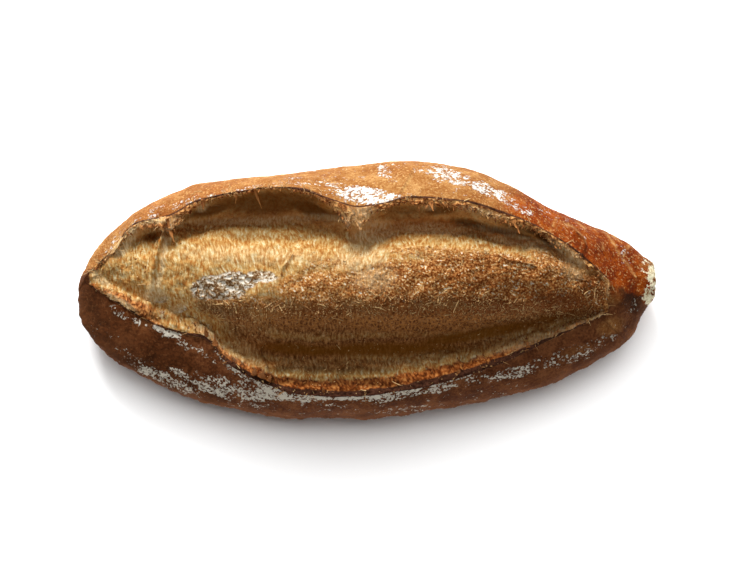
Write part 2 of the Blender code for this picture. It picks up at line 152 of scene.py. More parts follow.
FAR_FURROW = (
    (-140, 6.5, 34), (-132, 12, 37.5), (-126, 16.5, 41), (-120, 22.5, 43.8), (-112, 26.5, 41.2),
    (-100, 28, 42), (-88, 32, 44), (-72, 35, 47), (-51, 38, 50), (-32, 36, 53), (-17, 31, 57.5),
    (-3, 25.5, 64.2), (7, 28.5, 60), (17, 32, 57.5), (36, 31.5, 57.5), (51, 29, 57), (65, 26, 57),
    (75, 22.5, 57.5), (86, 19.5, 58.5), (98, 13.3, 58), (107, 8.5, 57), (118, 1, 53), (124, -3, 50),
)
# The large torn tongues, narrower than the solid's: x, which side, length, width, and angle over the table
FLAKES = (
    (-103, 1, 4, 3, -40), (-98.5, 1, 12, 2.2, -28), (-79.5, 1, 5, 3, -45), (-63, 1, 6, 1.2, -55),
    (-54, 1, 11, 1.2, -50), (31, 1, 6, 3, -12), (71, 1, 5, 3, -15), (-78, -1, 6, 2, 25),
    (-74, -1, 7, 2.4, 12), (-71, -1, 4, 2, 35), (-55, -1, 7, 2.4, 50), (-51, -1, 8, 3, 45),
    (-47, -1, 6, 2, 50), (-20, -1, 4, 2, 40), (45, -1, 4, 2, 50), (80, -1, 4, 2, 30),
)
FLAKE_TURN = 0.35
# Small tongues along each edge: x, and how thickly they stand there on the far edge and on the near one
FRINGE_X = (-140, -120, -95, -80, -40, -15, -3, 8, 20, 70, 90, 110, 124)
FRINGE_FAR = (0.2, 1.0, 1.0, 0.4, 0.2, 0.5, 1.5, 0.8, 1.0, 1.2, 0.8, 0.5, 0.2)
FRINGE_NEAR = (0.3, 0.3, 0.8, 1.6, 1.2, 0.6, 0.6, 0.6, 0.6, 0.8, 0.8, 0.4, 0.2)
FRINGE_COUNTS, FRINGE_LENGTHS, FRINGE_STEPS_IN = (240, 90), (0.6, 0.45), 11
STRAND_COUNT = 3600

SPLIT_ENDS = (-140.0, 124.0)
SPLIT_FADES = (4.0, 9.0)
BASE_SHARE, BASE_LIFT = 0.74, 24.0
CRUST_ARRIVAL = 0.36
WALL_X, WALL_LEAN = -106.0, 0.22
WALL_HEIGHT, WALL_THICK = 5.2, 1.3
WALL_Y, WALL_FADE = (-8.0, 30.0), 4.0
KISS_AT, KISS_RADIUS, KISS_HEIGHT = (141.0, 5.0, 27.0), 18.0, 3.5
BOX_MARGIN, SHRED_MARGIN = 0.15, 0.2

# How finely the surface is drawn: sections along the loaf, and steps round each of them
STATIONS, TIP_CROWDING = 520, 0.75
UNDER_STEPS, NEAR_STEPS, FAR_STEPS, TEAR_STEPS, BASE_STEPS = 16, 44, 52, 14, 14
CRUMB_STEPS = (24, 40, 36, 36, 30, 18, 20)
EAR_STEPS = 40

# Relief that the solid has too
CRUST_BUMPS, CRUST_SPACING = 0.7, 17.0
CRUMB_BUMPS, CRUMB_SPACING = 1.1, 8.0
FINER, EVEN_FOOT = 0.45, 8.0
TORN_EDGE, TORN_SPACING = 0.6, 9.0

# Finer relief: each kind's height and its size
FIBRE, FIBRE_SIZE = 0.7, (1.3, 3.6, 1.0)
PEBBLE, PEBBLE_SIZE = 0.75, (1.9, 1.6, 1.9)
SKIN, SKIN_SIZE = 0.9, (2.7, 1.8, 2.7)
RAG, RAG_SIZE, RAG_PIT = 0.9, 2.4, 1.7
GRAIN, GRAIN_SIZE = 0.22, 1.9
BLISTER, BLISTER_SIZE = 0.22, 5.5
FOOT_LUMP, FOOT_LUMP_SIZE = 1.3, 6.5
KISS_RIDGE, KISS_RIDGE_SIZE = 1.6, 3.5

# The photograph's camera: its height over the table, its lens, and its scale in the plane REF_Z
WIDTH, HEIGHT = 738, 567
ELEVATION = math.radians(80)
LENS, SENSOR = 100.0, 36.0
MM_PER_PIXEL = 290 / 575
REF_Z = 30.0
MIDDLE_PIXEL = (365.5, 291.0)

# The lights: place and target in metres, the two sides of the light, and its power
KEY_LIGHT = ((-0.34, 1.15, 0.87), (0, 0, 0.05), (0.55, 0.55), 31)
FLOOR_LIGHT = ((0.04, 0.29, 0.82), (0, 0, 0), (1.1, 0.85), 15.8)
FRONT_LIGHT = ((0.12, -0.5, 0.85), (0, 0, 0.05), (0.7, 0.7), 1.2)
SURROUND, FLOOR_SHADE, FLOOR_SIZE = 0.23, 0.82, 8

# Cracks and creases in the crust and the crumb, as bent lines in the photograph: their points, the
# groove's depth and half its width in millimetres
GROOVES = (
    (((293, 256), (289, 262), (284, 268), (282, 276)), 1.1, 0.7),
    (((497, 257), (508, 262), (520, 263), (534, 267)), 1.0, 0.7),
    (((413, 170), (409, 178), (403, 188), (398, 196)), 0.6, 0.6),
    (((187, 358), (190, 368), (187, 376), (191, 385), (196, 392)), 0.8, 0.6),
    (((574, 233), (582, 240), (584, 248), (579, 258)), 0.8, 0.8),
    (((600, 318), (607, 324), (614, 331), (622, 338)), 0.8, 0.6),
    (((262, 350), (264, 360), (268, 370), (273, 379)), 1.3, 0.9),
    (((166, 244), (164, 258), (162, 270), (160, 280)), 0.5, 0.6),
)
# Pale lines on the crust, as bent lines in the photograph
SCARS = (
    ((560, 223), (571, 227), (579, 235), (584, 243)), ((600, 244), (602, 249)), ((612, 236), (618, 241)),
    ((604, 232), (610, 239), (616, 250), (623, 260), (630, 270), (635, 279)), ((404, 190), (411, 176)),
    ((549, 233), (553, 225), (556, 219)), ((623, 256), (628, 246)), ((578, 222), (584, 229)),
    ((112, 252), (118, 243), (121, 236)),
)
# Flour on the crust, as ovals in the photograph: middle, half length, half width, turn and amount
FAR_FLOUR = (
    (368, 196, 56, 13, 8, 1.15), (340, 188, 44, 10, 14, 0.7), (384, 172, 12, 12, 70, 0.7),
    (450, 177, 44, 11, 12, 0.85), (488, 191, 46, 10, 24, 0.85), (518, 207, 32, 8, 28, 0.65),
    (432, 170, 34, 8, 0, 0.55), (545, 214, 26, 8, 28, 0.4), (262, 188, 54, 7, -3, 0.5),
    (195, 200, 50, 6, -18, 0.5), (148, 218, 40, 8, -36, 0.55), (116, 243, 30, 7, -52, 0.55),
    (300, 182, 40, 9, 6, 0.45), (620, 256, 26, 22, 0, 0.3), (580, 232, 40, 14, 25, 0.3),
    (380, 180, 230, 34, 2, 0.28),
)
NEAR_FLOUR = (
    (168, 380, 60, 11, 24, 0.8), (182, 375, 26, 7, 30, 0.8), (134, 360, 26, 8, 35, 0.6),
    (212, 389, 34, 9, 18, 0.95), (232, 386, 56, 13, 14, 0.75), (251, 398, 26, 6, 10, 0.95),
    (285, 395, 62, 10, 6, 1.15), (345, 403, 60, 6, 0, 0.5), (395, 397, 50, 7, -8, 0.8),
    (418, 393, 20, 5, -10, 0.8), (440, 389, 32, 6, -10, 0.85), (470, 382, 40, 8, -14, 0.6),
    (514, 373, 44, 10, -14, 0.8), (548, 362, 50, 12, -16, 0.6), (580, 356, 30, 8, -20, 0.65),
    (592, 346, 44, 12, -24, 0.5), (618, 330, 26, 14, -60, 0.25), (628, 304, 18, 18, 0, 0.35),
    (120, 314, 22, 6, 38, 0.6), (143, 325, 20, 6, 26, 0.75), (168, 331, 24, 9, 16, 1.0),
    (184, 343, 18, 8, 48, 0.75), (205, 354, 28, 6, 38, 0.6), (330, 411, 90, 7, 0, 0.3),
    (240, 404, 60, 8, 12, 0.45), (110, 345, 40, 20, 50, 0.25), (480, 398, 90, 9, -12, 0.35),
    (350, 395, 260, 34, 0, 0.26), (140, 362, 30, 10, 35, 0.5), (400, 410, 60, 6, -4, 0.5),
)
# Flour and cracked skin on the crumb
CRUMB_FLOUR = (
    (208, 288, 24, 15, -14, 1.0), (236, 282, 32, 13, 2, 0.95), (262, 277, 22, 8, 4, 0.95),
    (222, 294, 34, 9, 0, 0.8), (163, 300, 9, 4, -20, 0.9), (182, 310, 9, 4, -25, 0.9),
    (170, 318, 18, 5, 35, 0.6),
)
# Where the crumb is toasted: the band over its crest's near side
TOASTED = (
    (330, 290, 84, 28, 0, 0.65), (330, 266, 46, 12, -4, 0.4), (400, 284, 96, 34, -3, 0.8),
    (480, 280, 110, 38, 4, 1.0), (550, 286, 76, 34, 12, 1.0), (560, 266, 50, 16, 25, 0.6),
    (250, 302, 70, 12, 5, 0.5), (440, 254, 80, 10, 3, 0.5), (596, 296, 36, 34, 30, 1.0),
    (500, 264, 80, 14, 6, 0.85),
)
# Where the crumb is brown and darkened further with painted shade for the loaf's own shade: its near slope,
# the furrow and the near wall
BROWN_AND_SHADE_SPOTS = (
    (330, 322, 130, 24, 0, 1.0), (420, 322, 150, 24, 0, 1.0), (500, 316, 130, 18, -5, 1.0),
    (380, 346, 190, 16, -2, 1.0), (300, 350, 90, 18, 4, 1.0), (530, 320, 86, 14, -13, 1.0),
    (250, 330, 50, 26, 40, 0.9), (330, 364, 120, 12, 0, 0.75), (450, 345, 110, 12, -12, 0.7),
    (225, 312, 44, 12, 20, 0.7),
)
# Painted shade along the bottom of the furrow
FURROW_SHADE_SPOTS = (
    (380, 350, 120, 9, -1, 1.0), (300, 350, 60, 8, 4, 1.0), (480, 334, 100, 8, -10, 1.0),
    (555, 317, 50, 7, -15, 0.8),
)
# Where the crumb is paler, partly its own colour and partly painted light and highlight: its bright swells,
# the wall and rim of the pocket, and a patch by the near rim
PALE_AND_LIT_SPOTS = (
    (150, 222, 34, 5, -4, 1.0), (176, 225, 12, 12, 60, 0.6), (362, 214, 20, 13, 0, 0.6),
    (100, 278, 24, 6, 42, 1.0), (130, 236, 20, 6, -42, 1.2), (168, 236, 8, 11, 0, 1.2),
    (203, 208, 9, 5, -30, 1.0), (112, 250, 16, 5, -55, 1.0), (240, 352, 30, 14, 24, 0.3),
    (208, 334, 26, 8, 40, 0.7), (540, 338, 76, 8, -16, 0.6), (440, 360, 70, 6, -6, 0.2),
    (374, 278, 30, 18, 0, 0.5), (375, 235, 34, 12, -14, 1.3), (156, 297, 18, 9, 0, 1.1),
    (612, 290, 10, 16, 0, 0.7), (120, 303, 28, 6, 30, 1.0), (128, 243, 16, 7, -45, 1.3),
    (156, 290, 9, 14, 0, 1.25), (179, 309, 12, 6, -25, 1.2), (124, 247, 18, 8, -48, 1.3),
    (430, 207, 8, 6, 0, 0.8), (482, 213, 30, 5, 14, 0.8), (572, 273, 16, 9, 20, 0.5),
    (360, 258, 34, 20, 0, 0.7), (600, 320, 16, 8, -20, 1.1), (250, 256, 100, 12, 2, 0.5),
    (165, 252, 4, 34, 8, 1.2), (159, 286, 4, 20, 8, 1.1), (430, 229, 110, 8, 2, 1.0),
    (520, 242, 50, 8, 12, 0.8), (568, 256, 30, 8, 38, 1.1), (262, 221, 100, 6, -2, 0.9),
    (340, 219, 60, 5, 4, 0.6),
)
# Where the crust is darker than round about: baked darker, and painted shade on the near crust at the blunt
# end
BAKED_AND_SHADED_CRUST = (
    (556, 226, 90, 34, 26, 0.9), (606, 262, 60, 50, 30, 1.0), (640, 290, 30, 40, 0, 1.0),
    (120, 350, 110, 50, 40, 0.7), (98, 315, 60, 60, 0, 1.0), (160, 352, 60, 24, 30, 0.9),
    (180, 203, 100, 24, -20, 0.3),
)
# Where the near crust is as light as the far one, without the near side's painted shade
WARMER = (
    (612, 297, 15, 10, 0, 0.7), (610, 327, 18, 12, -20, 0.55), (646, 299, 7, 9, 0, 0.6),
    (576, 352, 24, 8, -20, 0.2),
)
# Where orange threads make a net over the dark slope, and where the toasted band ends in dark brown
NET = ((420, 322, 130, 17, 0, 1.0), (300, 320, 80, 13, 0, 0.8), (530, 308, 60, 12, -5, 0.6))
DARK_TOAST = (
    (450, 306, 160, 14, 0, 1.0), (310, 308, 100, 11, 0, 0.9), (560, 305, 50, 20, 8, 1.0),
    (500, 285, 60, 14, 4, 0.35), (225, 314, 40, 9, 10, 0.7), (592, 287, 20, 18, 40, 0.8),
)
# Painted shade: the dark top of the hollow under the ear
HOLLOW_SHADE_SPOTS = (
    (268, 203, 88, 17, -2, 0.85), (214, 210, 36, 8, -14, 0.9), (310, 209, 44, 11, 18, 0.95),
    (400, 210, 36, 6, 0, 0.6), (440, 211, 24, 6, 0, 0.8), (470, 224, 30, 6, 10, 0.9),
    (512, 234, 40, 6, 14, 1.0), (545, 241, 30, 6, 34, 1.0), (152, 238, 12, 7, -10, 0.8),
    (340, 212, 10, 8, 30, 0.5),
)
# Painted shade: where the split is darkened towards black by a share
PAINTED_SHADE_SPOTS = (
    (270, 237, 80, 7, 0, 0.4), (215, 374, 50, 9, 25, 0.5), (232, 335, 20, 16, 40, 0.2),
    (150, 315, 40, 6, 12, 0.5), (112, 276, 24, 9, 20, 0.2), (182, 280, 8, 14, 0, 0.25),
    (240, 372, 20, 6, 20, 0.5), (335, 381, 110, 9, 1, 0.68), (225, 378, 40, 8, 15, 0.6),
    (270, 380, 30, 8, 10, 0.6), (176, 334, 16, 12, 30, 0.25), (215, 275, 60, 16, 0, 0.14),
    (110, 270, 22, 10, 20, 0.2), (405, 216, 44, 6, -5, 0.35), (480, 229, 40, 5, 8, 0.5),
    (300, 371, 60, 8, 0, 0.65), (355, 372, 76, 8, 0, 0.65), (522, 229, 34, 5, 14, 0.6),
    (548, 240, 26, 6, 34, 0.5), (435, 366, 54, 7, -8, 0.4), (270, 231, 60, 8, 0, 0.25),
    (470, 262, 60, 12, 4, 0.15), (475, 236, 24, 6, 8, 0.3), (440, 292, 50, 6, 0, 0.2),
    (330, 391, 50, 5, 0, 0.3), (215, 308, 30, 10, 10, 0.3), (185, 216, 24, 6, -20, 0.3),
    (340, 213, 12, 8, 40, 0.4),
)
# Where the near rim's orange gives way to crumb, where the rough patch shows, and where threads are thick
UNTORN = ((180, 322, 44, 22, 35, 0.85),)
KISS_SPOT = ((647, 297, 7, 12, 0, 0.8),)
THREADED = ((330, 308, 150, 16, 0, 1.0), (450, 306, 150, 18, 3, 1.0), (236, 314, 60, 18, 15, 0.8))

# The crust's colours, then the crumb's and the marks'. A row of stops is a place from 0 to 1 and a colour
GOLD = ((0.34, (0.27, 0.090, 0.019)), (0.5, (0.36, 0.148, 0.038)), (0.66, (0.50, 0.255, 0.086)))
RED = ((0.36, (0.14, 0.018, 0.001)), (0.5, (0.235, 0.034, 0.002)), (0.66, (0.37, 0.080, 0.007)))
# The near crust's brown, darker than the far crust's gold as painted shade
DARK = ((0.36, (0.070, 0.020, 0.006)), (0.5, (0.128, 0.040, 0.013)), (0.66, (0.21, 0.076, 0.027)))
DARKEST = ((0.36, (0.038, 0.011, 0.003)), (0.64, (0.095, 0.028, 0.008)))
# The near crust's lighter colour towards its foot, painted light; and the colour of the crust's pits
LOW_CRUST, PIT = (0.27, 0.112, 0.048), (0.07, 0.02, 0.008)
# Pores and flour on the near crust are darker than on the far crust, as painted shade
NEAR_PORE_AND_SHADE, FAR_PORE = (0.30, 0.13, 0.05), (0.80, 0.50, 0.20)
NEAR_DUST_AND_SHADE, FAR_DUST = (0.72, 0.66, 0.54), (0.84, 0.80, 0.74)
# The crumb's gold, lighter on the tufts and darker in their gaps, partly painted highlight and shade
TUFTS = (
    (0.14, (0.40, 0.150, 0.030)), (0.34, (0.54, 0.272, 0.075)),
    (0.56, (0.66, 0.435, 0.165)), (0.80, (0.84, 0.70, 0.42)),
)
# The smooth crumb under the ear, its own colour made lighter as painted light in the ear's shadow
SMOOTH = ((0.36, (0.50, 0.18, 0.035)), (0.5, (0.76, 0.37, 0.105)), (0.64, (0.90, 0.56, 0.22)))
# The near slope's brown crumb, darkened further with painted shade
SHADED_SLOPE = ((0.40, (0.085, 0.026, 0.004)), (0.5, (0.25, 0.095, 0.028)), (0.60, (0.50, 0.23, 0.080)))
# Painted shade at the hollow's top, the net's own thread colour, and painted shade in the furrow
SHADE, NET_THREAD, FURROW_SHADE = (0.105, 0.030, 0.001), (0.42, 0.17, 0.045), (0.19, 0.064, 0.003)
GRAINS = (
    (0.10, (0.16, 0.038, 0.006)), (0.34, (0.37, 0.125, 0.030)), (0.54, (0.58, 0.260, 0.075)),
    (0.72, (0.78, 0.53, 0.24)), (0.88, (0.95, 0.88, 0.76)),
)
DEEP_DARK, DEEP_LIGHT, DEEP_OVER = (0.09, 0.026, 0.005), (0.26, 0.10, 0.03), (0.14, 0.028, 0.003)
FLOURY_SKIN = ((0.0, (0.17, 0.075, 0.025)), (0.2, (0.50, 0.36, 0.21)), (0.5, (0.95, 0.87, 0.74)))
# The near torn rim is darker than the far one, as painted shade
NEAR_TORN_AND_SHADE = ((0.25, (0.10, 0.022, 0.004)), (0.55, (0.36, 0.100, 0.021)), (0.90, (0.66, 0.27, 0.072)))
FAR_TORN = ((0.28, (0.18, 0.050, 0.012)), (0.50, (0.60, 0.235, 0.070)), (0.78, (0.95, 0.53, 0.19)))
# The pale places' colours, partly paler crumb and partly painted light
PALE_DARK, PALE_LIGHT = (0.58, 0.32, 0.105), (0.90, 0.72, 0.42)
PATCH = ((0.40, (0.55, 0.40, 0.17)), (0.58, (0.98, 0.92, 0.68)))
# The scars' own pale colour, and painted shade in the cracks
SCAR, CRACK_SHADE = (0.80, 0.48, 0.17), (0.06, 0.018, 0.004)
CHAR = ((0.35, (0.045, 0.015, 0.008)), (0.65, (0.115, 0.045, 0.024)))
STRANDS = ((0.1, (0.32, 0.12, 0.03)), (0.9, (0.82, 0.55, 0.25)))
TORN_CRUMB = ((0.1, (0.16, 0.040, 0.008)), (0.9, (0.58, 0.24, 0.070)))


def smoothstep(low, high, value):
    t = np.clip((value - low) / (high - low), 0, 1)
    return t * t * (3 - 2 * t)


def unit(v):
    return v / np.maximum(np.linalg.norm(v, axis=-1, keepdims=True), 1e-9)


def turn(x):
    """The angle round the loaf's length that x stands at, so that lines close round the tips."""
    return np.arccos(np.clip(-np.asarray(x, float) / HALF, -1, 1))


def along(table, x):
    """The table's other columns at each x, on a smooth line that doesn't overshoot its points."""
    rows = np.array(table, float)
    at, known = turn(rows[:, 0]), rows[:, 1:]
    step = np.diff(at)[:, None]
    slope = np.diff(known, axis=0) / step
    before, after = slope[:-1], slope[1:]
    same_way = before * after > 0
    mean = 2 * before * after / np.where(same_way, before + after, 1)
    tangent = np.concatenate([slope[:1], np.where(same_way, mean, 0), slope[-1:]])
    t = np.clip(turn(x), at[0], at[-1])
    i = np.clip(np.searchsorted(at, t) - 1, 0, len(at) - 2)
    u, h = ((t - at[i]) / step[i, 0])[:, None], step[i]
    return (
        (1 + 2 * u) * (1 - u) ** 2 * known[i] + u * (1 - u) ** 2 * h * tangent[i]
        + u * u * (3 - 2 * u) * known[i + 1] - u * u * (1 - u) * h * tangent[i + 1]
    )


def bezier(start, first, second, end, steps):
    """Points along a cubic curve in every cross-section at once, without its last one."""
    t = (np.arange(steps) / steps)[None, :, None]
    a, b, c, d = (p[:, None, :] for p in (start, first, second, end))
    return (1 - t) ** 3 * a + 3 * t * (1 - t) ** 2 * b + 3 * t * t * (1 - t) * c + t ** 3 * d


def through(points, steps):
    """A smooth curve through each cross-section's points, without its last one."""
    tangent = np.gradient(points, axis=1)
    pieces = []
    for i, count in enumerate(steps):
        a, b = points[:, i], points[:, i + 1]
        pieces.append(bezier(a, a + tangent[:, i] / 3, b - tangent[:, i + 1] / 3, b, count))
    return np.concatenate(pieces, axis=1)


def uneven(x, spacing, seed):
    """A seeded wavy line, from about -1 to 1."""
    return np.array([noise.noise(Vector((v / spacing, seed, 0.0))) for v in x])


def offset(points, across, up):
    return points + np.stack(np.broadcast_arrays(across, up), axis=1)


def random_cells(cells, seed):
    """A seeded number from 0 to 1 for each whole-numbered cell."""
    mixed = cells[..., 0] * 73856093 ^ cells[..., 1] * 19349663 ^ cells[..., 2] * 83492791 ^ seed * 40503
    mixed = (mixed & 0x7FFFFFFF) * 1103515245 + 12345
    mixed = (mixed ^ (mixed >> 15)) & 0x7FFFFFFF
    mixed = (mixed * 69069 + 1) ^ (mixed >> 11)
    return (mixed & 0xFFFFFF) / 0xFFFFFF


def soft_noise(places, seed):
    """Smooth seeded noise from -1 to 1, one cell wide."""
    low = np.floor(places).astype(np.int64)
    part = places - low
    part = part ** 3 * (part * (part * 6 - 15) + 10)
    total = 0
    for corner in np.ndindex(2, 2, 2):
        weight = np.prod(np.where(np.array(corner) == 1, part, 1 - part), axis=-1)
        total = total + weight * random_cells(low + np.array(corner), seed)
    return total * 2 - 1


def fractal(places, spacing, seed, octaves=3, roughness=0.5):
    """Layers of noise, each finer and lower than the one before it. The spacing may differ by axis."""
    q = places / np.asarray(spacing, float)
    total, height, whole = 0, 1.0, 0.0
    for octave in range(octaves):
        total = total + height * soft_noise(q + 17.3 * octave, seed + octave)
        whole += height
        height *= roughness
        q = q[..., [1, 2, 0]] * np.array((2.03, -2.03, 2.03)) if octave % 2 else q * 2.03
    return total / whole


def ridges(places, spacing, seed, octaves=3, roughness=0.55):
    """Layers of sharp crests from seeded noise, from 0 to 1."""
    q = places / np.asarray(spacing, float)
    total, height, whole = 0, 1.0, 0.0
    for octave in range(octaves):
        total = total + height * (1 - np.abs(soft_noise(q + 9.1 * octave, seed + octave))) ** 2
        whole += height
        height *= roughness
        q = q * 1.93
    return total / whole


def cells(places, seed):
    """How far each place is from the borders between seeded cells, and a number from 0 to 1 for its cell."""
    low = np.floor(places).astype(np.int64)
    nearest = np.full(places.shape[:-1], 9.0)
    second, number = nearest.copy(), nearest.copy()
    for shift in np.ndindex(3, 3, 3):
        cell = low + np.array(shift) - 1
        middle = cell + np.stack([random_cells(cell, seed + i) for i in range(3)], axis=-1)
        away = np.linalg.norm(places - middle, axis=-1)
        second = np.minimum(second, np.maximum(nearest, away))
        number = np.where(away < nearest, random_cells(cell, seed + 7), number)
        nearest = np.minimum(nearest, away)
    return second - nearest, number


def crumb_line(x, near, far):
    """From the near crust edge over its torn rim, over the swollen crumb and up under the ear."""
    reach, drop = along(NEAR_TEAR, x).T
    reach = reach * (1 + TORN_EDGE * uneven(x, TORN_SPACING, 3.0))
    teeth = 0.22 * uneven(x, 3.1, 21.0) + 0.12 * uneven(x, 1.4, 23.0)
    near_rim = offset(near, reach * (1 + teeth), -drop)
    near_ridge = near + 0.42 * (near_rim - near)
    near_ridge[:, 1] += along(NEAR_RIDGE, x)[:, 0] * (1 + 0.5 * uneven(x, 2.6, 25.0))
    reach, drop = along(FAR_TEAR, x).T
    reach = reach * (1 + 0.4 * TORN_EDGE * uneven(x, TORN_SPACING, 7.0))
    teeth = np.maximum(0.6 * uneven(x, 3.7, 27.0) + 0.5 * uneven(x, 1.5, 29.0), -0.7)
    far_rim = offset(far, -reach * (1 + teeth), -drop * (1 + 0.6 * teeth))
    furrow = along(FAR_FURROW, x)
    recess = 0.5 * (furrow + far)
    recess[:, 0] = far[:, 0] - reach * 0.3 + along(UNDERCUT, x)[:, 0] * 0.5
    swell = [along(table, x) for table in (NEAR_FURROW, NEAR_SHOULDER, CREST, FAR_SHOULDER)]
    body = np.stack([near_rim, *swell, furrow, recess, far_rim], axis=1)
    near_tear = bezier(near, near + 0.1 * (near_ridge - near), near_ridge, near_rim, TEAR_STEPS)
    far_belly = 0.5 * (far_rim + far)
    far_belly[:, 1] += 0.25 * drop
    far_tear = bezier(far_rim, 0.5 * (far_rim + far_belly), far_belly, far, TEAR_STEPS)
    return np.concatenate([near_tear, through(body, CRUMB_STEPS), far_tear], axis=1)


def down(arc, top):
    """An upward arc turned round: from its top, which it leaves out, to just above its foot."""
    return np.concatenate([top[:, None], arc[:, :0:-1]], axis=1)


def underside(base, side):
    """From the base's edge, which it leaves nearly flat, round to where the crust is widest."""
    out, up = (side - base).T
    return bezier(base, offset(base, out * 0.7, up * 0.05), offset(side, 0, -up * 0.5), side, UNDER_STEPS)


def crust(side, lip, steps):
    """From where the crust is widest, which it leaves straight up, to its torn edge."""
    inward, up = (lip - side).T
    last = offset(lip, -inward * 0.45, -up * 0.45 * CRUST_ARRIVAL)
    return bezier(side, offset(side, 0, up * 0.55), last, lip, steps)


def closed_crust(near, far, near_side, far_side, count):
    """What the split's points lie on past its ends: the whole crust, domed on from its two sides."""
    t = np.arange(count) / count
    slope = CRUST_ARRIVAL * 0.5 * ((near - near_side)[:, 1] + (far - far_side)[:, 1])
    slope = slope / (0.5 * ((near - near_side)[:, 0] + (far_side - far)[:, 0]))
    line = near[:, None] * (1 - t[None, :, None]) + far[:, None] * t[None, :, None]
    line[:, :, 1] += (slope * (far - near)[:, 0])[:, None] * t * (1 - t)
    return line


def sections(x):
    """The y and z round each cross-section, how open the split is, and where its points start and end."""
    far_side, near_side = along(FAR_SIDE, x), along(NEAR_SIDE, x)
    far, near = along(FAR_LIP, x), along(NEAR_LIP, x)
    past = np.clip((np.abs(x) - (HALF - BASE_LIFT)) / BASE_LIFT, 0, 1)
    lift = LEFT_TIP[2] * (1 - np.sqrt(1 - past ** 2))
    middle, half = (far_side + near_side)[:, 0] / 2, (far_side - near_side)[:, 0] / 2
    far_base = np.stack([middle + half * BASE_SHARE, lift], axis=1)
    near_base = np.stack([middle - half * BASE_SHARE, lift], axis=1)
    first, last = SPLIT_ENDS
    opened = smoothstep(first, first + SPLIT_FADES[0], x) * (1 - smoothstep(last - SPLIT_FADES[1], last, x))
    crumb = crumb_line(x, near, far)
    whole = closed_crust(near, far, near_side, far_side, crumb.shape[1])
    crumb = crumb * opened[:, None, None] + whole * (1 - opened)[:, None, None]
    t = (np.arange(BASE_STEPS) / BASE_STEPS)[None, :, None]
    ring = np.concatenate([
        underside(near_base, near_side),
        crust(near_side, near, NEAR_STEPS),
        crumb,
        down(crust(far_side, far, FAR_STEPS), far),
        down(underside(far_base, far_side), far_side),
        far_base[:, None] * (1 - t) + near_base[:, None] * t,
    ], axis=1)
    start = UNDER_STEPS + NEAR_STEPS
    return ring, opened, start, start + crumb.shape[1]


def stations():
    """Where the cross-sections stand: evenly along the loaf, and closer together towards its tips."""
    share = np.linspace(0, 1, STATIONS + 2)[1:-1]
    return HALF * ((1 - TIP_CROWDING) * (2 * share - 1) - TIP_CROWDING * np.cos(np.pi * share))


def raise_wall(points, in_split):
    """Lifts the crumb along the thin wall between the pocket and the main split."""
    x, y = points[..., 0], points[..., 1]
    ridge = np.exp(-((x - WALL_X - WALL_LEAN * y) / WALL_THICK) ** 2) * np.interp(y, (0, 20), (0.3, 1))
    starts = smoothstep(WALL_Y[0] - WALL_FADE, WALL_Y[0] + WALL_FADE, y)
    ends = smoothstep(WALL_Y[1] - WALL_FADE, WALL_Y[1] + WALL_FADE, y)
    points[..., 2] += WALL_HEIGHT * ridge * starts * (1 - ends) * in_split


def from_kiss(points):
    """How far each point is from the middle of the rough patch at the sharper tip, in its radii."""
    return np.linalg.norm(points - np.array(KISS_AT), axis=-1) / KISS_RADIUS


def push_out_kiss(points):
    """Makes the rough patch stand out of the crust, no further than the tip itself."""
    pushed = points[..., 0] + KISS_HEIGHT * (1 - smoothstep(0.35, 1, from_kiss(points)))
    points[..., 0] = np.minimum(pushed, RIGHT_TIP[0] - 0.2)


def normals_of(points):
    """The outward direction at each point of the grid of sections."""
    around = np.roll(points, -1, axis=1) - np.roll(points, 1, axis=1)
    return unit(np.cross(around, np.gradient(points, axis=0)))


def camera_place():
    """The photograph's camera, in the feature lines' millimetres: its place, and its right, up and back."""
    right = np.array((1.0, 0.0, 0.0))
    back = np.array((0.0, -math.cos(ELEVATION), math.sin(ELEVATION)))
    up = np.cross(back, right)
    target = np.array((
        (WIDTH / 2 - MIDDLE_PIXEL[0]) * MM_PER_PIXEL,
        (MIDDLE_PIXEL[1] - HEIGHT / 2) * MM_PER_PIXEL / math.sin(ELEVATION),
        REF_Z,
    ))
    return target + back * WIDTH * MM_PER_PIXEL * LENS / SENSOR, right, up, back


def seen_at(points):
    """The photograph's pixel, across and down, at which each point is seen."""
    place, right, up, back = camera_place()
    away = points - place
    focal = WIDTH * LENS / SENSOR
    depth = -(away @ back)
    return WIDTH / 2 + focal * (away @ right) / depth, HEIGHT / 2 - focal * (away @ up) / depth


def covered(seen, spots):
    """How much of a list of soft oval spots each point has: an oval's amount in its middle, 0 outside."""
    total = np.zeros(seen[0].shape)
    for across, below, half_long, half_wide, degrees, amount in spots:
        u, v = seen[0] - across, seen[1] - below
        c, s = math.cos(math.radians(degrees)), math.sin(math.radians(degrees))
        away = np.hypot((u * c + v * s) / half_long, (v * c - u * s) / half_wide)
        total = np.maximum(total, amount * (1 - smoothstep(0.35, 1.0, away)))
    return total


def line_distance(seen, line):
    """How many pixels each point is from a bent line in the photograph's view."""
    nearest = np.full(seen[0].shape, 1e9)
    for (x0, y0), (x1, y1) in zip(line, line[1:]):
        dx, dy = x1 - x0, y1 - y0
        t = np.clip(((seen[0] - x0) * dx + (seen[1] - y0) * dy) / (dx * dx + dy * dy), 0, 1)
        nearest = np.minimum(nearest, np.hypot(seen[0] - x0 - t * dx, seen[1] - y0 - t * dy))
    return nearest


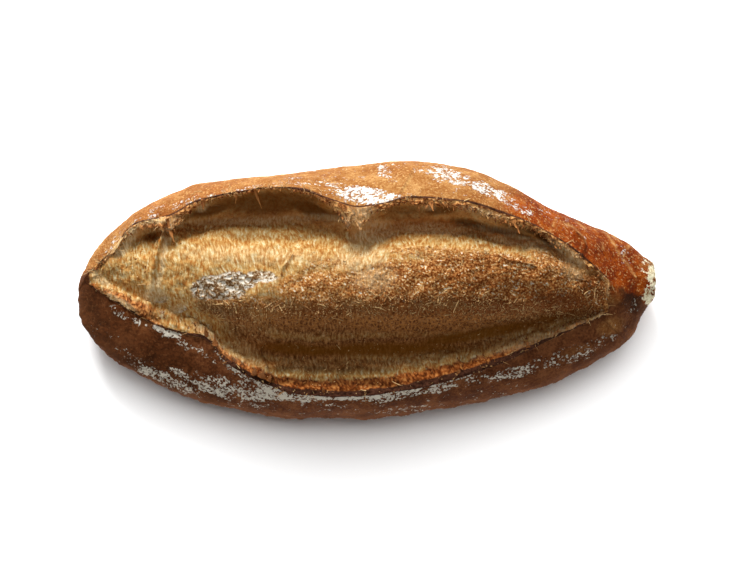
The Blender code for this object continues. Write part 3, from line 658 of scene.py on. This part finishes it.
class Surface:
    """The loaf's points, as a grid of sections by steps, and what its relief and its finish are made from."""

    def __init__(self):
        self.x = stations()
        ring, self.opened, self.start, self.end = sections(self.x)
        x = np.broadcast_to(self.x[:, None, None], (*ring.shape[:2], 1))
        self.points = np.concatenate([x, ring], axis=2)
        self.step = np.arange(ring.shape[1])
        self.in_split = ((self.step >= self.start) & (self.step < self.end)) * self.opened[:, None]
        raise_wall(self.points, self.in_split)
        push_out_kiss(self.points)
        self.seen = seen_at(self.points)
        self.facing = normals_of(self.points)
        self.finish = {}
        self.measure()
        self.raise_lumps()
        self.raise_crumb()
        self.raise_crust()
        foot = smoothstep(0, EVEN_FOOT, self.points[..., 2])
        self.points = self.points + self.facing * (self.height * foot)[..., None]
        self.mark_edges()
        self.mark_places()

    def measure(self):
        """How far along its section each point is from the crust's two edges, and which part it is on."""
        gaps = np.linalg.norm(np.diff(self.points, axis=1, append=self.points[:, :1]), axis=-1)
        length = np.cumsum(gaps, axis=1) - gaps
        self.across = length - length[:, self.start:self.start + 1]
        self.whole = length[:, self.end:self.end + 1] - length[:, self.start:self.start + 1]
        self.from_near, self.from_far = np.abs(self.across), np.abs(self.across - self.whole)
        near_tear = self.in_split * (self.step < self.start + TEAR_STEPS)
        self.far_tear = self.in_split * (self.step >= self.end - TEAR_STEPS)
        self.torn = np.clip(near_tear + self.far_tear, 0, 1)
        self.body = self.in_split * (1 - self.torn)
        self.outside = 1 - self.in_split
        self.up_side = self.points[..., 2] > 30

    def raise_lumps(self):
        """The relief that the solid has too, in its spacing."""
        lumps = np.zeros(self.points.shape[:2])
        for i, j in np.ndindex(lumps.shape):
            spacing = CRUMB_SPACING if self.in_split[i, j] > 0.5 else CRUST_SPACING
            place = Vector(self.points[i, j]) / spacing
            lumps[i, j] = noise.noise(place) + 0.5 * noise.noise(place / FINER)
        self.height = lumps * np.where(self.in_split > 0.5, CRUMB_BUMPS, CRUST_BUMPS)

    def raise_crumb(self):
        """Fibres that run across the loaf, pebbles where it is toasted, flakes of floury skin, torn rims."""
        points, finish = self.points, self.finish
        warp = 1.6 * fractal(points, 7.0, 91, 2)
        self.strand = np.stack([points[..., 0] + warp, self.across, 0 * self.across], axis=-1)
        spots = {"toast": TOASTED, "brown": BROWN_AND_SHADE_SPOTS, "furrow": FURROW_SHADE_SPOTS, "net": NET, "deep": DARK_TOAST}
        for name, table in spots.items():
            finish[name] = covered(self.seen, table) * self.body
        finish["cavity"] = self.body * smoothstep(0.70, 0.80, self.across / np.maximum(self.whole, 1))
        tuft = ridges(self.strand, FIBRE_SIZE, 101, 3, 0.65)
        grain = fractal(points, GRAIN_SIZE, 131, 3, 0.65)
        calm = 1 - 0.75 * finish["cavity"]
        fibres = (1 - 0.6 * finish["toast"]) * (1 - 0.5 * finish["brown"]) * (FIBRE * tuft - 0.4)
        self.height += self.body * calm * (fibres + GRAIN * grain)

        edge, cell = cells(points / np.array(PEBBLE_SIZE) + 0.3 * grain[..., None], 141)
        pebbles = smoothstep(0.0, 0.5, edge) * (0.4 + 0.9 * cell)
        self.height += finish["toast"] * (PEBBLE * pebbles - 0.3)
        flakes, flake = cells(points / np.array(SKIN_SIZE) + 0.35 * grain[..., None], 171)
        skin = covered(self.seen, CRUMB_FLOUR) * self.body
        finish["skin"] = smoothstep(0.25, 0.5, skin + 0.35 * grain)
        self.height += finish["skin"] * (SKIN * smoothstep(0.02, 0.3, flakes) * (0.5 + 0.8 * flake) - 0.35)
        rags = ridges(points, RAG_SIZE, 151, 3, 0.6)
        pit, _ = cells(points / RAG_PIT + 0.3 * grain[..., None], 161)
        self.height += self.torn * (RAG * rags + 0.8 * smoothstep(0.05, 0.5, pit) - 0.9 + 0.3 * grain)

        self.grain = grain
        finish["tuft"] = tuft
        finish["speck"] = np.where(edge > 0.15, cell, 0.0)
        finish["flake"] = flake * smoothstep(0.05, 0.25, flakes)
        finish["rags"] = np.clip(0.6 * rags + 0.6 * smoothstep(0.0, 0.5, pit), 0, 1.2)

    def raise_crust(self):
        """Small blisters, a rough foot, the cracks and creases, and the rough patch at the sharper tip."""
        points, z = self.points, self.points[..., 2]
        blister, _ = cells(points / BLISTER_SIZE + 0.2 * self.grain[..., None], 181)
        blister = BLISTER * smoothstep(0.0, 0.5, blister)
        self.height += self.outside * (blister + 0.16 * fractal(points, 3.0, 191, 3, 0.6))
        low = smoothstep(3, 10, z) * (1 - smoothstep(24, 34, z))
        self.height += self.outside * low * (FOOT_LUMP * fractal(points, FOOT_LUMP_SIZE, 195, 4, 0.6) - 0.3)
        crack = np.zeros(z.shape)
        for line, depth, half_width in GROOVES:
            near_line = line_distance(self.seen, line) * MM_PER_PIXEL / half_width
            self.height -= depth * np.exp(-near_line ** 2) * self.up_side
            crack = np.maximum(crack, min(depth, 1) * np.exp(-(1.5 * near_line) ** 2))
        kiss = 1 - smoothstep(0.3, 0.75, from_kiss(points))
        self.height -= kiss * self.outside * KISS_RIDGE * ridges(points, KISS_RIDGE_SIZE, 197, 3)
        # The cracks' mask, for painted shade along them
        self.finish["crack"] = crack * self.up_side
        self.finish["kiss"] = np.maximum(kiss, covered(self.seen, KISS_SPOT)) * self.outside

    def mark_edges(self):
        """Where the split's two edges are floured, burnt and torn, each a little unevenly."""
        z, near_crust = self.points[..., 2], self.step < self.start
        wobble = 0.9 * fractal(self.points, 3.5, 199, 2)
        reached = (self.from_near + 1.5 * wobble) / along(FLOUR_REACH, self.x)
        lip_flour = along(LIP_FLOUR, self.x) * (1 - smoothstep(0.3, 1.0, reached)) * near_crust
        far_flour = covered(self.seen, FAR_FLOUR) * (self.step >= self.end) * (z > 28)
        near_flour = covered(self.seen, NEAR_FLOUR) * near_crust * (z > 12)
        flour = np.maximum(np.maximum(far_flour, near_flour), lip_flour)

        band = along(BURNT_BAND, self.x)
        inside = 1 - smoothstep(0.75 * band, 1.25 * band, self.from_near + 0.8 * wobble)
        inside = np.maximum(inside, np.exp(-(self.from_far / 0.65) ** 2))
        burnt = np.where(near_crust, 1 - smoothstep(0.1, 0.5, self.from_near), inside)

        before_ear = self.step < self.end - EAR_STEPS
        reach = along(NEAR_TEAR, self.x)[:, :1]
        near_torn = 1 - smoothstep(reach - 1, reach + 0.6, self.from_near + 2.5 * wobble)
        tear = self.far_tear + near_torn * self.in_split * before_ear
        tear = tear * (1 - covered(self.seen, UNTORN) * before_ear)
        self.wobble = wobble
        self.finish["flour"] = flour * self.outside
        self.finish["burnt"] = burnt * self.opened[:, None] * (z > 28)
        self.finish["tear"] = np.clip(tear, 0, 1)

    def mark_places(self):
        """The crumb, its pale places with painted light, its dim places and the hollow's top with painted
        shade, the scars, the far crust's share, and where the crust is baked darker and painted with shade.
        """
        x, y, finish = self.points[..., 0], self.points[..., 1], self.finish
        far_half = self.across > 0.6 * self.whole
        scar = np.min([line_distance(self.seen, line) for line in SCARS], axis=0)
        side = y + 3 * self.wobble - 10 * (1 - smoothstep(-140, -122, x)) + 3 * smoothstep(110, 124, x)
        width = 1.5 + 28 * (1 - smoothstep(60, 120, x)) * smoothstep(-135, -110, x)
        finish["crumb"] = self.in_split
        finish["pale"] = covered(self.seen, PALE_AND_LIT_SPOTS) * self.in_split
        finish["dim"] = covered(self.seen, PAINTED_SHADE_SPOTS) * self.in_split
        finish["hollow_shade"] = covered(self.seen, HOLLOW_SHADE_SPOTS) * self.body * far_half
        finish["scar"] = np.exp(-(scar / 1.3) ** 2) * self.outside * self.up_side
        # The far crust's share: the rest, the near crust, gets darker colours as painted shade
        finish["far"] = np.clip(smoothstep(-1, 1, side / width) + covered(self.seen, WARMER), 0, 1)
        finish["bake_and_shade"] = covered(self.seen, BAKED_AND_SHADED_CRUST) * self.outside


def placing(points, low, high):
    """How places in the feature lines' frame are moved into the solid's, in metres, inside its box."""
    lowest, highest = points.reshape(-1, 3).min(0), points.reshape(-1, 3).max(0)
    low, high = np.array(low) / MM + BOX_MARGIN, np.array(high) / MM - BOX_MARGIN
    low[2] = 0.0
    scale = np.minimum((high - low) / (highest - lowest), 1.0)
    middle = (lowest + highest) / 2
    target = (low + high) / 2
    middle[2] = target[2] = 0.0
    return lambda places: ((places - middle) * scale + target) * MM


def make_mesh(name, points, faces):
    """An object of all the faces, given in lists of one size each."""
    mesh = bpy.data.meshes.new(name)
    mesh.vertices.add(len(points))
    mesh.vertices.foreach_set("co", np.asarray(points, np.float32).ravel())
    corners = np.concatenate([f.ravel() for f in faces]).astype(np.int32)
    sizes = np.concatenate([np.full(len(f), f.shape[1], np.int32) for f in faces])
    mesh.loops.add(len(corners))
    mesh.loops.foreach_set("vertex_index", corners)
    mesh.polygons.add(len(sizes))
    mesh.polygons.foreach_set("loop_start", np.concatenate([[0], np.cumsum(sizes)[:-1]]).astype(np.int32))
    mesh.update(calc_edges=True)
    mesh.validate()
    mesh.shade_smooth()
    made = bpy.data.objects.new(name, mesh)
    bpy.context.scene.collection.objects.link(made)
    return made


def write_attribute(mesh, name, values):
    """Keeps a number, or three, for each point of the mesh, for its material to read."""
    values = np.asarray(values, np.float32)
    kind, key = ("FLOAT", "value") if values.ndim == 1 else ("FLOAT_VECTOR", "vector")
    mesh.attributes.new(name, kind, "POINT").data.foreach_set(key, values.ravel())


def tube_quads(rows, columns):
    """The quads of a grid of points that closes round its columns."""
    i, j = np.meshgrid(np.arange(rows - 1), np.arange(columns), indexing="ij")
    here, beside = i * columns + j, i * columns + (j + 1) % columns
    return np.stack([here + columns, beside + columns, beside, here], -1).reshape(-1, 4)


def end_fans(rows, columns):
    """A fan of triangles at each end of such a grid, to two more points after its own."""
    j = np.arange(columns)
    k = (j + 1) % columns
    first, last = rows * columns, rows * columns + 1
    left = np.stack([j, k, np.full(columns, first)], -1)
    right = np.stack([(rows - 1) * columns + k, (rows - 1) * columns + j, np.full(columns, last)], -1)
    return np.concatenate([left, right])


class Nodes:
    """A new material, with short ways to add nodes to it. Each gives back the socket to read from."""

    def __init__(self, name):
        self.material = bpy.data.materials.new(name)
        self.material.use_nodes = True
        self.tree = self.material.node_tree
        self.shader = self.tree.nodes["Principled BSDF"]

    def feed(self, target, value):
        """Links a socket to an input, or sets the input to a number, a direction or a colour."""
        if isinstance(value, bpy.types.NodeSocket):
            self.tree.links.new(value, target)
        else:
            target.default_value = (*value, 1) if target.type == "RGBA" else value

    def node(self, kind, inputs, **settings):
        """Adds a node, gives it its settings, feeds its inputs and gives it back whole."""
        made = self.tree.nodes.new(kind)
        for name, value in settings.items():
            setattr(made, name, value)
        for key, value in inputs.items():
            self.feed(made.inputs[key], value)
        return made

    def read(self, name, output="Fac"):
        return self.node("ShaderNodeAttribute", {}, attribute_name=name).outputs[output]

    def calc(self, operation, *values):
        return self.node("ShaderNodeMath", dict(enumerate(values)), operation=operation).outputs[0]

    def times(self, first, second):
        return self.calc("MULTIPLY", first, second)

    def stir(self, value, grain, amount):
        """The value with noise added to it, up and down alike."""
        return self.calc("MULTIPLY_ADD", self.calc("SUBTRACT", grain, 0.5), amount, value)

    def between(self, value, low, high, bottom=0.0, top=1.0):
        """The value's place between low and high, eased, from bottom to top."""
        inputs = {"Value": value, "From Min": low, "From Max": high, "To Min": bottom, "To Max": top}
        return self.node("ShaderNodeMapRange", inputs, interpolation_type="SMOOTHSTEP").outputs["Result"]

    def mix(self, share, first, second):
        """A colour between two colours, each a socket or three numbers."""
        return self.node("ShaderNodeMix", {0: share, 6: first, 7: second}, data_type="RGBA").outputs[2]

    def ramp(self, value, stops):
        """A colour that runs through the stops, each a place from 0 to 1 and a colour."""
        made = self.node("ShaderNodeValToRGB", {"Fac": value})
        elements = made.color_ramp.elements
        for index, (at, colour) in enumerate(stops):
            element = elements[index] if index < 2 else elements.new(at)
            element.position, element.color = at, (*colour, 1)
        return made.outputs["Color"]

    def noise(self, vector, scale, detail=3.0, roughness=0.55, stretch=None):
        """Noise from 0 to 1, at so many waves a millimetre, which may differ along the three directions."""
        if stretch:
            scaled = self.node("ShaderNodeVectorMath", {0: vector, 1: stretch}, operation="MULTIPLY")
            vector = scaled.outputs[0]
        inputs = {"Vector": vector, "Scale": scale, "Detail": detail, "Roughness": roughness}
        return self.node("ShaderNodeTexNoise", inputs).outputs["Fac"]

    def place_mm(self):
        """Where a point is on the loaf, in millimetres."""
        at = self.node("ShaderNodeTexCoord", {}).outputs["Object"]
        return self.node("ShaderNodeVectorMath", {0: at, "Scale": 1 / MM}, operation="SCALE").outputs[0]

    def surface(self, colour, specular, roughness, height=None, depth=0.0):
        """Feeds the shader, with a bump so many millimetres deep."""
        self.feed(self.shader.inputs["Base Color"], colour)
        self.feed(self.shader.inputs["Specular IOR Level"], specular)
        self.feed(self.shader.inputs["Roughness"], roughness)
        if height is not None:
            bump = self.node("ShaderNodeBump", {"Height": height, "Distance": depth * MM, "Strength": 1.0})
            self.feed(self.shader.inputs["Normal"], bump.outputs["Normal"])
        return self.material


def crust_colour(nodes, at, fine, medium, flour):
    """Gold on the far side, red-brown where it is baked more, dark brown with painted shade on the near side,
    lighter towards its foot as painted light, and floured.
    """
    far, bake_and_shade = nodes.read("far"), nodes.read("bake_and_shade")
    broad = nodes.calc("MULTIPLY_ADD", medium, 0.25, nodes.times(nodes.noise(at, 0.1), 0.75))
    mottle = nodes.stir(broad, fine, 0.85)
    baked = nodes.between(nodes.stir(bake_and_shade, medium, 1.1), 0.0, 0.95)
    far_crust = nodes.mix(baked, nodes.ramp(mottle, GOLD), nodes.ramp(mottle, RED))
    # The near crust darker than the far one, and darker still in spots, as painted shade
    near_crust = nodes.mix(bake_and_shade, nodes.ramp(mottle, DARK), nodes.ramp(mottle, DARKEST))
    high = nodes.node("ShaderNodeSeparateXYZ", {0: at}).outputs["Z"]
    # Painted light: the near crust lighter towards its foot
    near_crust = nodes.mix(nodes.between(high, 38, 12, 0.0, 0.5), near_crust, LOW_CRUST)
    colour = nodes.mix(far, near_crust, far_crust)
    pores = nodes.between(nodes.noise(at, 0.75, 2.0, 0.6), 0.57, 0.66)
    pores = nodes.times(pores, nodes.calc("MULTIPLY_ADD", far, 0.25, 0.2))
    # Pores, darker on the near crust as painted shade
    colour = nodes.mix(pores, colour, nodes.mix(far, NEAR_PORE_AND_SHADE, FAR_PORE))
    pits = nodes.between(nodes.noise(at, 1.2, 2.0, 0.5), 0.36, 0.28)
    colour = nodes.mix(nodes.times(pits, 0.35), colour, PIT)
    # Flour, darker on the near crust as painted shade
    return nodes.mix(nodes.times(flour, 0.92), colour, nodes.mix(far, NEAR_DUST_AND_SHADE, FAR_DUST))


def flour_cover(nodes, at):
    """Flour lies where its mask says, thick in the middle and in specks round it."""
    mask = nodes.read("flour")
    grain = nodes.node("ShaderNodeTexVoronoi", {"Vector": at, "Scale": 1.15}).outputs["Color"]
    grain = nodes.node("ShaderNodeSeparateColor", {0: grain}).outputs[0]
    dust = nodes.stir(nodes.noise(at, 0.22, 5.0, 0.75, (0.8, 1.25, 1.0)), grain, 0.30)
    over = nodes.calc("SUBTRACT", dust, nodes.between(mask, 0.0, 1.2, 0.72, 0.36))
    return nodes.times(nodes.between(over, 0.0, 0.13), nodes.between(mask, 0.02, 0.15))


def crumb_colour(nodes, at, threads, fine, medium):
    """Gold tufts with darker gaps, partly painted highlight and shade, smoother and painted lighter under the
    ear, the hollow's painted shade, brown with painted shade on the near slope with its net, and the furrow's
    painted shade.
    """
    tufts = nodes.calc("MULTIPLY_ADD", nodes.read("tuft"), 0.6, 0.14)
    # Lighter on the tufts and darker in the gaps: partly painted highlight and shade
    colour = nodes.ramp(nodes.stir(tufts, threads, 2.0), TUFTS)
    even = nodes.calc("MULTIPLY_ADD", fine, 0.5, nodes.times(medium, 0.5))
    # The smooth crumb under the ear, made lighter as painted light in the ear's shadow
    colour = nodes.mix(nodes.read("cavity"), colour, nodes.ramp(even, SMOOTH))
    # Painted shade at the top of the hollow under the ear
    colour = nodes.mix(nodes.times(nodes.read("hollow_shade"), 0.92), colour, SHADE)
    fibres = nodes.calc("MULTIPLY_ADD", threads, 0.6, nodes.times(fine, 0.4))
    # The near slope's brown, with painted shade
    colour = nodes.mix(nodes.read("brown"), colour, nodes.ramp(fibres, SHADED_SLOPE))
    mesh = nodes.node("ShaderNodeTexVoronoi", {"Vector": at, "Scale": 0.36}, feature="DISTANCE_TO_EDGE")
    mesh = nodes.between(mesh.outputs["Distance"], 0.13, 0.02)
    colour = nodes.mix(nodes.times(nodes.read("net"), mesh), colour, NET_THREAD)
    # Painted shade in the furrow
    return nodes.mix(nodes.times(nodes.read("furrow"), 0.8), colour, FURROW_SHADE)


def toast_over(nodes, colour, fine, finest):
    """Toasted crumb: dark brown gaps, brown and gold grains, and a few white ones."""
    toast, deep = nodes.read("toast"), nodes.read("deep")
    specks = nodes.calc("MULTIPLY_ADD", nodes.read("speck"), 0.4, 0.28)
    grains = nodes.ramp(nodes.stir(specks, finest, 2.0), GRAINS)
    dark = nodes.mix(nodes.between(finest, 0.42, 0.6), DEEP_DARK, DEEP_LIGHT)
    grains = nodes.mix(nodes.times(deep, 0.72), grains, dark)
    toasted = nodes.between(nodes.stir(toast, fine, 1.6), 0.0, 0.8)
    colour = nodes.mix(nodes.times(toasted, nodes.between(toast, 0.0, 0.2)), colour, grains)
    return nodes.mix(nodes.times(deep, 0.5), colour, DEEP_OVER)


def rims_over(nodes, colour, threads, fine, finest):
    """Floury skin in flakes over the crumb, the orange and ragged torn rims, the near one darker with painted
    shade, and the crumb's pale places, partly paler crumb and partly painted light.
    """
    skin = nodes.ramp(nodes.stir(nodes.read("flake"), finest, 1.4), FLOURY_SKIN)
    colour = nodes.mix(nodes.read("skin"), colour, skin)
    rags = nodes.stir(nodes.read("rags"), fine, 1.1)
    # The near torn rim darker than the far one, as painted shade
    torn = nodes.mix(nodes.read("far"), nodes.ramp(rags, NEAR_TORN_AND_SHADE), nodes.ramp(rags, FAR_TORN))
    colour = nodes.mix(nodes.read("tear"), colour, torn)
    # The pale places: partly paler crumb, partly painted light and highlight
    pale = nodes.mix(nodes.between(threads, 0.35, 0.65), PALE_DARK, PALE_LIGHT)
    return nodes.mix(nodes.times(nodes.read("pale"), 0.75), colour, pale)


def marks_over(nodes, colour, fine, medium):
    """The rough patch at the sharper tip, the scars, painted shade along the cracks, the burnt edges, and
    painted shade over the dim places.
    """
    kiss = nodes.read("kiss")
    ragged = nodes.stir(nodes.stir(kiss, medium, 2.6), fine, 1.6)
    ragged = nodes.times(nodes.between(ragged, 0.3, 0.6), nodes.between(kiss, 0.0, 0.1))
    even = nodes.calc("MULTIPLY_ADD", fine, 0.5, nodes.times(medium, 0.5))
    colour = nodes.mix(ragged, colour, nodes.ramp(even, PATCH))
    scar = nodes.times(nodes.read("scar"), nodes.between(medium, 0.35, 0.6))
    colour = nodes.mix(nodes.times(scar, 0.45), colour, SCAR)
    # Painted shade along the cracks and creases
    colour = nodes.mix(nodes.times(nodes.read("crack"), 0.7), colour, CRACK_SHADE)
    colour = nodes.mix(nodes.between(nodes.read("burnt"), 0.2, 0.8), colour, nodes.ramp(fine, CHAR))
    # Painted shade: darkens the dim places towards black
    return nodes.mix(nodes.read("dim"), colour, (0.0, 0.0, 0.0))


def bread_material():
    """One finish for the whole loaf: crust and crumb meet at the burnt edges of the split."""
    nodes = Nodes("bread")
    at = nodes.place_mm()
    fine = nodes.noise(at, 0.85, 4.0, 0.7)
    finest = nodes.noise(at, 1.0, 2.0, 0.6)
    medium = nodes.noise(at, 0.3, 4.0, 0.6)
    threads = nodes.noise(nodes.read("strand", "Vector"), 1.0, 4.0, 0.65, (0.95, 0.26, 1.0))
    flour = flour_cover(nodes, at)
    crumb = crumb_colour(nodes, at, threads, fine, medium)
    crumb = toast_over(nodes, crumb, fine, finest)
    crumb = rims_over(nodes, crumb, threads, fine, finest)
    in_split = nodes.read("crumb")
    blend = nodes.between(nodes.stir(in_split, medium, 0.9), 0.42, 0.58)
    colour = nodes.mix(blend, crust_colour(nodes, at, fine, medium, flour), crumb)
    colour = marks_over(nodes, colour, fine, medium)
    grit = nodes.calc("MULTIPLY_ADD", threads, in_split, fine)
    grit = nodes.calc("MULTIPLY_ADD", flour, 0.6, grit)
    return nodes.surface(colour, 0.03, nodes.between(fine, 0.3, 0.7, 0.6, 0.85), grit, 0.45)


def shreds_material(name, stops):
    """Thin torn crumb: each shred has its own tone, darker at its root."""
    nodes = Nodes(name)
    grain = nodes.noise(nodes.place_mm(), 1.8, 3.0, 0.6)
    tone = nodes.stir(nodes.read("tone"), grain, 0.8)
    return nodes.surface(nodes.ramp(tone, stops), 0.12, 0.7, grain, 0.2)


def add_shreds(name, placed, shreds, facing, rings, across, seed):
    """Many thin bent tongues in one mesh: each runs out from its root, narrows, curls and is ragged."""
    roots, outs, lengths, widths, thicks, bends, tones = shreds
    sides = unit(np.cross(outs, facing))
    ups = np.cross(outs, sides)
    count = len(roots)
    t = np.linspace(0, 1, rings)
    angle, run = bends[:, None] * t, lengths[:, None] * t
    spine = roots[:, None] + outs[:, None] * (run * np.cos(angle))[..., None]
    spine = spine + ups[:, None] * (run * np.sin(angle))[..., None]
    narrow = (1 - t ** 1.6) * 0.92 + 0.08
    generator = np.random.default_rng(seed)
    half = widths[:, None] / 2 * narrow * (1 + 0.55 * generator.uniform(-1, 1, (count, rings)))
    way_round = np.arange(across) / across * 2 * math.pi
    wide = half[:, :, None] * np.cos(way_round)
    thick = thicks[:, None, None] / 2 * (0.4 + 0.6 * narrow)[:, None] * np.sin(way_round)
    points = spine[:, :, None] + sides[:, None, None] * wide[..., None]
    points = points + ups[:, None, None] * thick[..., None]
    points += generator.uniform(-0.06, 0.06, points.shape) * np.minimum(widths, 3)[:, None, None, None]
    firsts = (np.arange(count) * rings * across)[:, None, None]
    quads = np.roll(tube_quads(rings, across), 1, axis=1) + firsts
    caps = np.stack([np.arange(across)[::-1], (rings - 1) * across + np.arange(across)]) + firsts
    places = placed(points.reshape(-1, 3))
    places[:, 2] = np.minimum(places[:, 2], CAD_BOX[1][2] - SHRED_MARGIN * MM)
    made = make_mesh(name, places, [quads.reshape(-1, 4), caps.reshape(-1, across)])
    tone = np.clip(tones[:, None] + 0.25 * (t - 0.5), 0, 1)
    write_attribute(made.data, "tone", np.repeat(tone.reshape(-1), across))
    return made


def add_loaf(surface, placed):
    """The whole loaf in fine relief, with its finish kept for its material to read."""
    points = surface.points
    tips = np.array((LEFT_TIP, RIGHT_TIP))
    tips[:, 0] = points[0, :, 0].min(), points[-1, :, 0].max()
    everything = np.concatenate([points.reshape(-1, 3), tips])
    shape = points.shape[:2]
    loaf = make_mesh("bread", placed(everything), [tube_quads(*shape), end_fans(*shape)])
    for name, values in surface.finish.items():
        write_attribute(loaf.data, name, np.concatenate([values.reshape(-1), [0, 0]]))
    strand = np.concatenate([surface.strand.reshape(-1, 3), np.zeros((2, 3))])
    write_attribute(loaf.data, "strand", strand)
    return loaf


def add_strands(surface, placed):
    """Hair-thin threads of crumb, most on the near slope and along the torn rims."""
    generator = np.random.default_rng(11)
    points, finish = surface.points, surface.finish
    slope = covered(seen_at(points), THREADED)
    weight = 0.04 + 2.0 * slope + 0.12 * finish["brown"] + 0.15 * finish["toast"] + 0.2 * finish["tear"]
    weight = finish["crumb"] * (points[..., 2] > 34) * weight
    flat = weight.reshape(-1)
    chosen = generator.choice(len(flat), STRAND_COUNT, p=flat / flat.sum())
    i, j = np.unravel_index(chosen, weight.shape)
    normal = surface.facing[i, j]
    around = unit(np.cross(normal, generator.normal(size=(STRAND_COUNT, 3))))
    outs = unit(around + normal * generator.uniform(0.1, 0.75, (STRAND_COUNT, 1)))
    lengths = generator.uniform(2.0, 7.0, STRAND_COUNT)
    widths = generator.uniform(0.3, 0.6, STRAND_COUNT)
    bends = generator.uniform(-3.0, 0.5, STRAND_COUNT)
    tones = generator.uniform(0.2, 1.0, STRAND_COUNT)
    shreds = points[i, j] - normal * 0.15, outs, lengths, widths, widths, bends, tones
    return add_shreds("crumb_strands", placed, shreds, normal, 6, 4, 12)


def fringe(surface, generator, side):
    """Many small tongues along one edge of the split: the far one for a side of 1, the near one for -1."""
    x, far = surface.points[:, surface.start, 0], side > 0
    inside = (x > SPLIT_ENDS[0] + 3) & (x < SPLIT_ENDS[1] - 6)
    share = np.interp(x, FRINGE_X, FRINGE_FAR if far else FRINGE_NEAR) * inside
    count, reach = (FRINGE_COUNTS[0], FRINGE_LENGTHS[0]) if far else (FRINGE_COUNTS[1], FRINGE_LENGTHS[1])
    i = generator.choice(len(x), count, p=share / share.sum())
    step = surface.end - FRINGE_STEPS_IN if far else surface.start + FRINGE_STEPS_IN
    j = step + generator.integers(-4, 5, count)
    roots = surface.points[i, j] - 0.25 * surface.facing[i, j]
    swing = generator.normal(0, 0.5, count)
    rise = generator.uniform(-0.7, 0.1, count) if far else generator.uniform(0.1, 1.2, count)
    outs = unit(np.stack([swing, -side * np.ones(count), rise], axis=1))
    lengths = generator.gamma(2.2, 0.75, count) * reach + 0.6
    widths = generator.uniform(0.4, 1.1, count) * np.sqrt(lengths / 2)
    bends = generator.uniform(-0.9, 0.5, count)
    tones = generator.uniform(0.1, 0.8, count) * (1 if far else 0.6)
    return roots, outs, lengths, widths, np.full(count, 0.3), bends, tones


def large_flakes(surface):
    """The large torn tongues at both edges, where their table puts them."""
    x, side, lengths, widths, degrees = np.array(FLAKES, float).T
    far, angle = side > 0, np.radians(degrees)
    i = np.abs(surface.points[:, surface.start, 0][None] - x[:, None]).argmin(axis=1)
    roots = np.where(far[:, None], surface.points[i, surface.end - 3], surface.points[i, surface.start + 6])
    turned = FLAKE_TURN * np.sin(x * 1.7)
    outs = unit(np.stack([np.sin(turned), -side * np.cos(angle), np.sin(angle)], axis=1))
    count = len(x)
    return roots, outs, lengths, widths, np.full(count, 0.8), np.full(count, -0.3), np.where(far, 0.7, 0.45)


def add_flakes(surface, placed):
    """Torn tongues of crumb along both rims: many small ones, and a few large ones."""
    generator = np.random.default_rng(21)
    parts = [fringe(surface, generator, 1), fringe(surface, generator, -1), large_flakes(surface)]
    shreds = [np.concatenate(column) for column in zip(*parts)]
    return add_shreds("torn_flakes", placed, shreds, np.array((0.05, 0.1, 1.0)), 7, 8, 22)


def add_camera(placed):
    """The photograph's camera, above and a little in front of the loaf."""
    place, right, up, back = camera_place()
    camera = bpy.data.objects.new("camera", bpy.data.cameras.new("camera"))
    camera.data.lens = LENS
    camera.data.sensor_width = SENSOR
    camera.location = placed(place)
    camera.rotation_mode = "QUATERNION"
    camera.rotation_quaternion = Vector(-back).to_track_quat("-Z", "Y")
    bpy.context.scene.collection.objects.link(camera)
    bpy.context.scene.camera = camera


def add_light(name, place, target, size, power):
    light = bpy.data.objects.new(name, bpy.data.lights.new(name, "AREA"))
    light.data.shape = "RECTANGLE"
    light.data.size, light.data.size_y = size
    light.data.energy = power
    light.location = place
    light.rotation_mode = "QUATERNION"
    light.rotation_quaternion = (Vector(place) - Vector(target)).to_track_quat("Z", "Y")
    bpy.context.scene.collection.objects.link(light)
    return light


def light_only(light, pieces):
    """Makes a light reach these pieces and nothing else."""
    lit = bpy.data.collections.new("lit by the " + light.name + " light")
    for piece in pieces:
        lit.objects.link(piece)
    light.light_linking.receiver_collection = lit


def add_studio(pieces):
    """A pale floor, one large soft light from behind the loaf, and an even white surround."""
    bpy.ops.mesh.primitive_plane_add(size=FLOOR_SIZE)
    floor = bpy.context.object
    floor.name = "floor"
    floor.data.materials.append(Nodes("floor").surface((FLOOR_SHADE,) * 3, 0.5, 0.9))
    add_light("key", *KEY_LIGHT)
    # A broad light from above reaches only the floor, which is why its shadows are short and pale
    light_only(add_light("broad", *FLOOR_LIGHT), [floor])
    # A weak one from the front reaches only the loaf, into the hollow behind the ear
    light_only(add_light("front", *FRONT_LIGHT), pieces)
    world = bpy.data.worlds.new("surround")
    world.use_nodes = True
    world.node_tree.nodes["Background"].inputs["Color"].default_value = (1, 1, 1, 1)
    world.node_tree.nodes["Background"].inputs["Strength"].default_value = SURROUND
    bpy.context.scene.world = world
    bpy.context.scene.view_settings.view_transform = "Standard"


surface = Surface()
placed = placing(surface.points, *CAD_BOX)
loaf = add_loaf(surface, placed)
loaf.data.materials.append(bread_material())
strands = add_strands(surface, placed)
strands.data.materials.append(shreds_material("strands", STRANDS))
flakes = add_flakes(surface, placed)
flakes.data.materials.append(shreds_material("torn_crumb", TORN_CRUMB))
for piece in (loaf, strands, flakes):
    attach(piece, "root")
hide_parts("loaf")
add_camera(placed)
add_studio((loaf, strands, flakes))
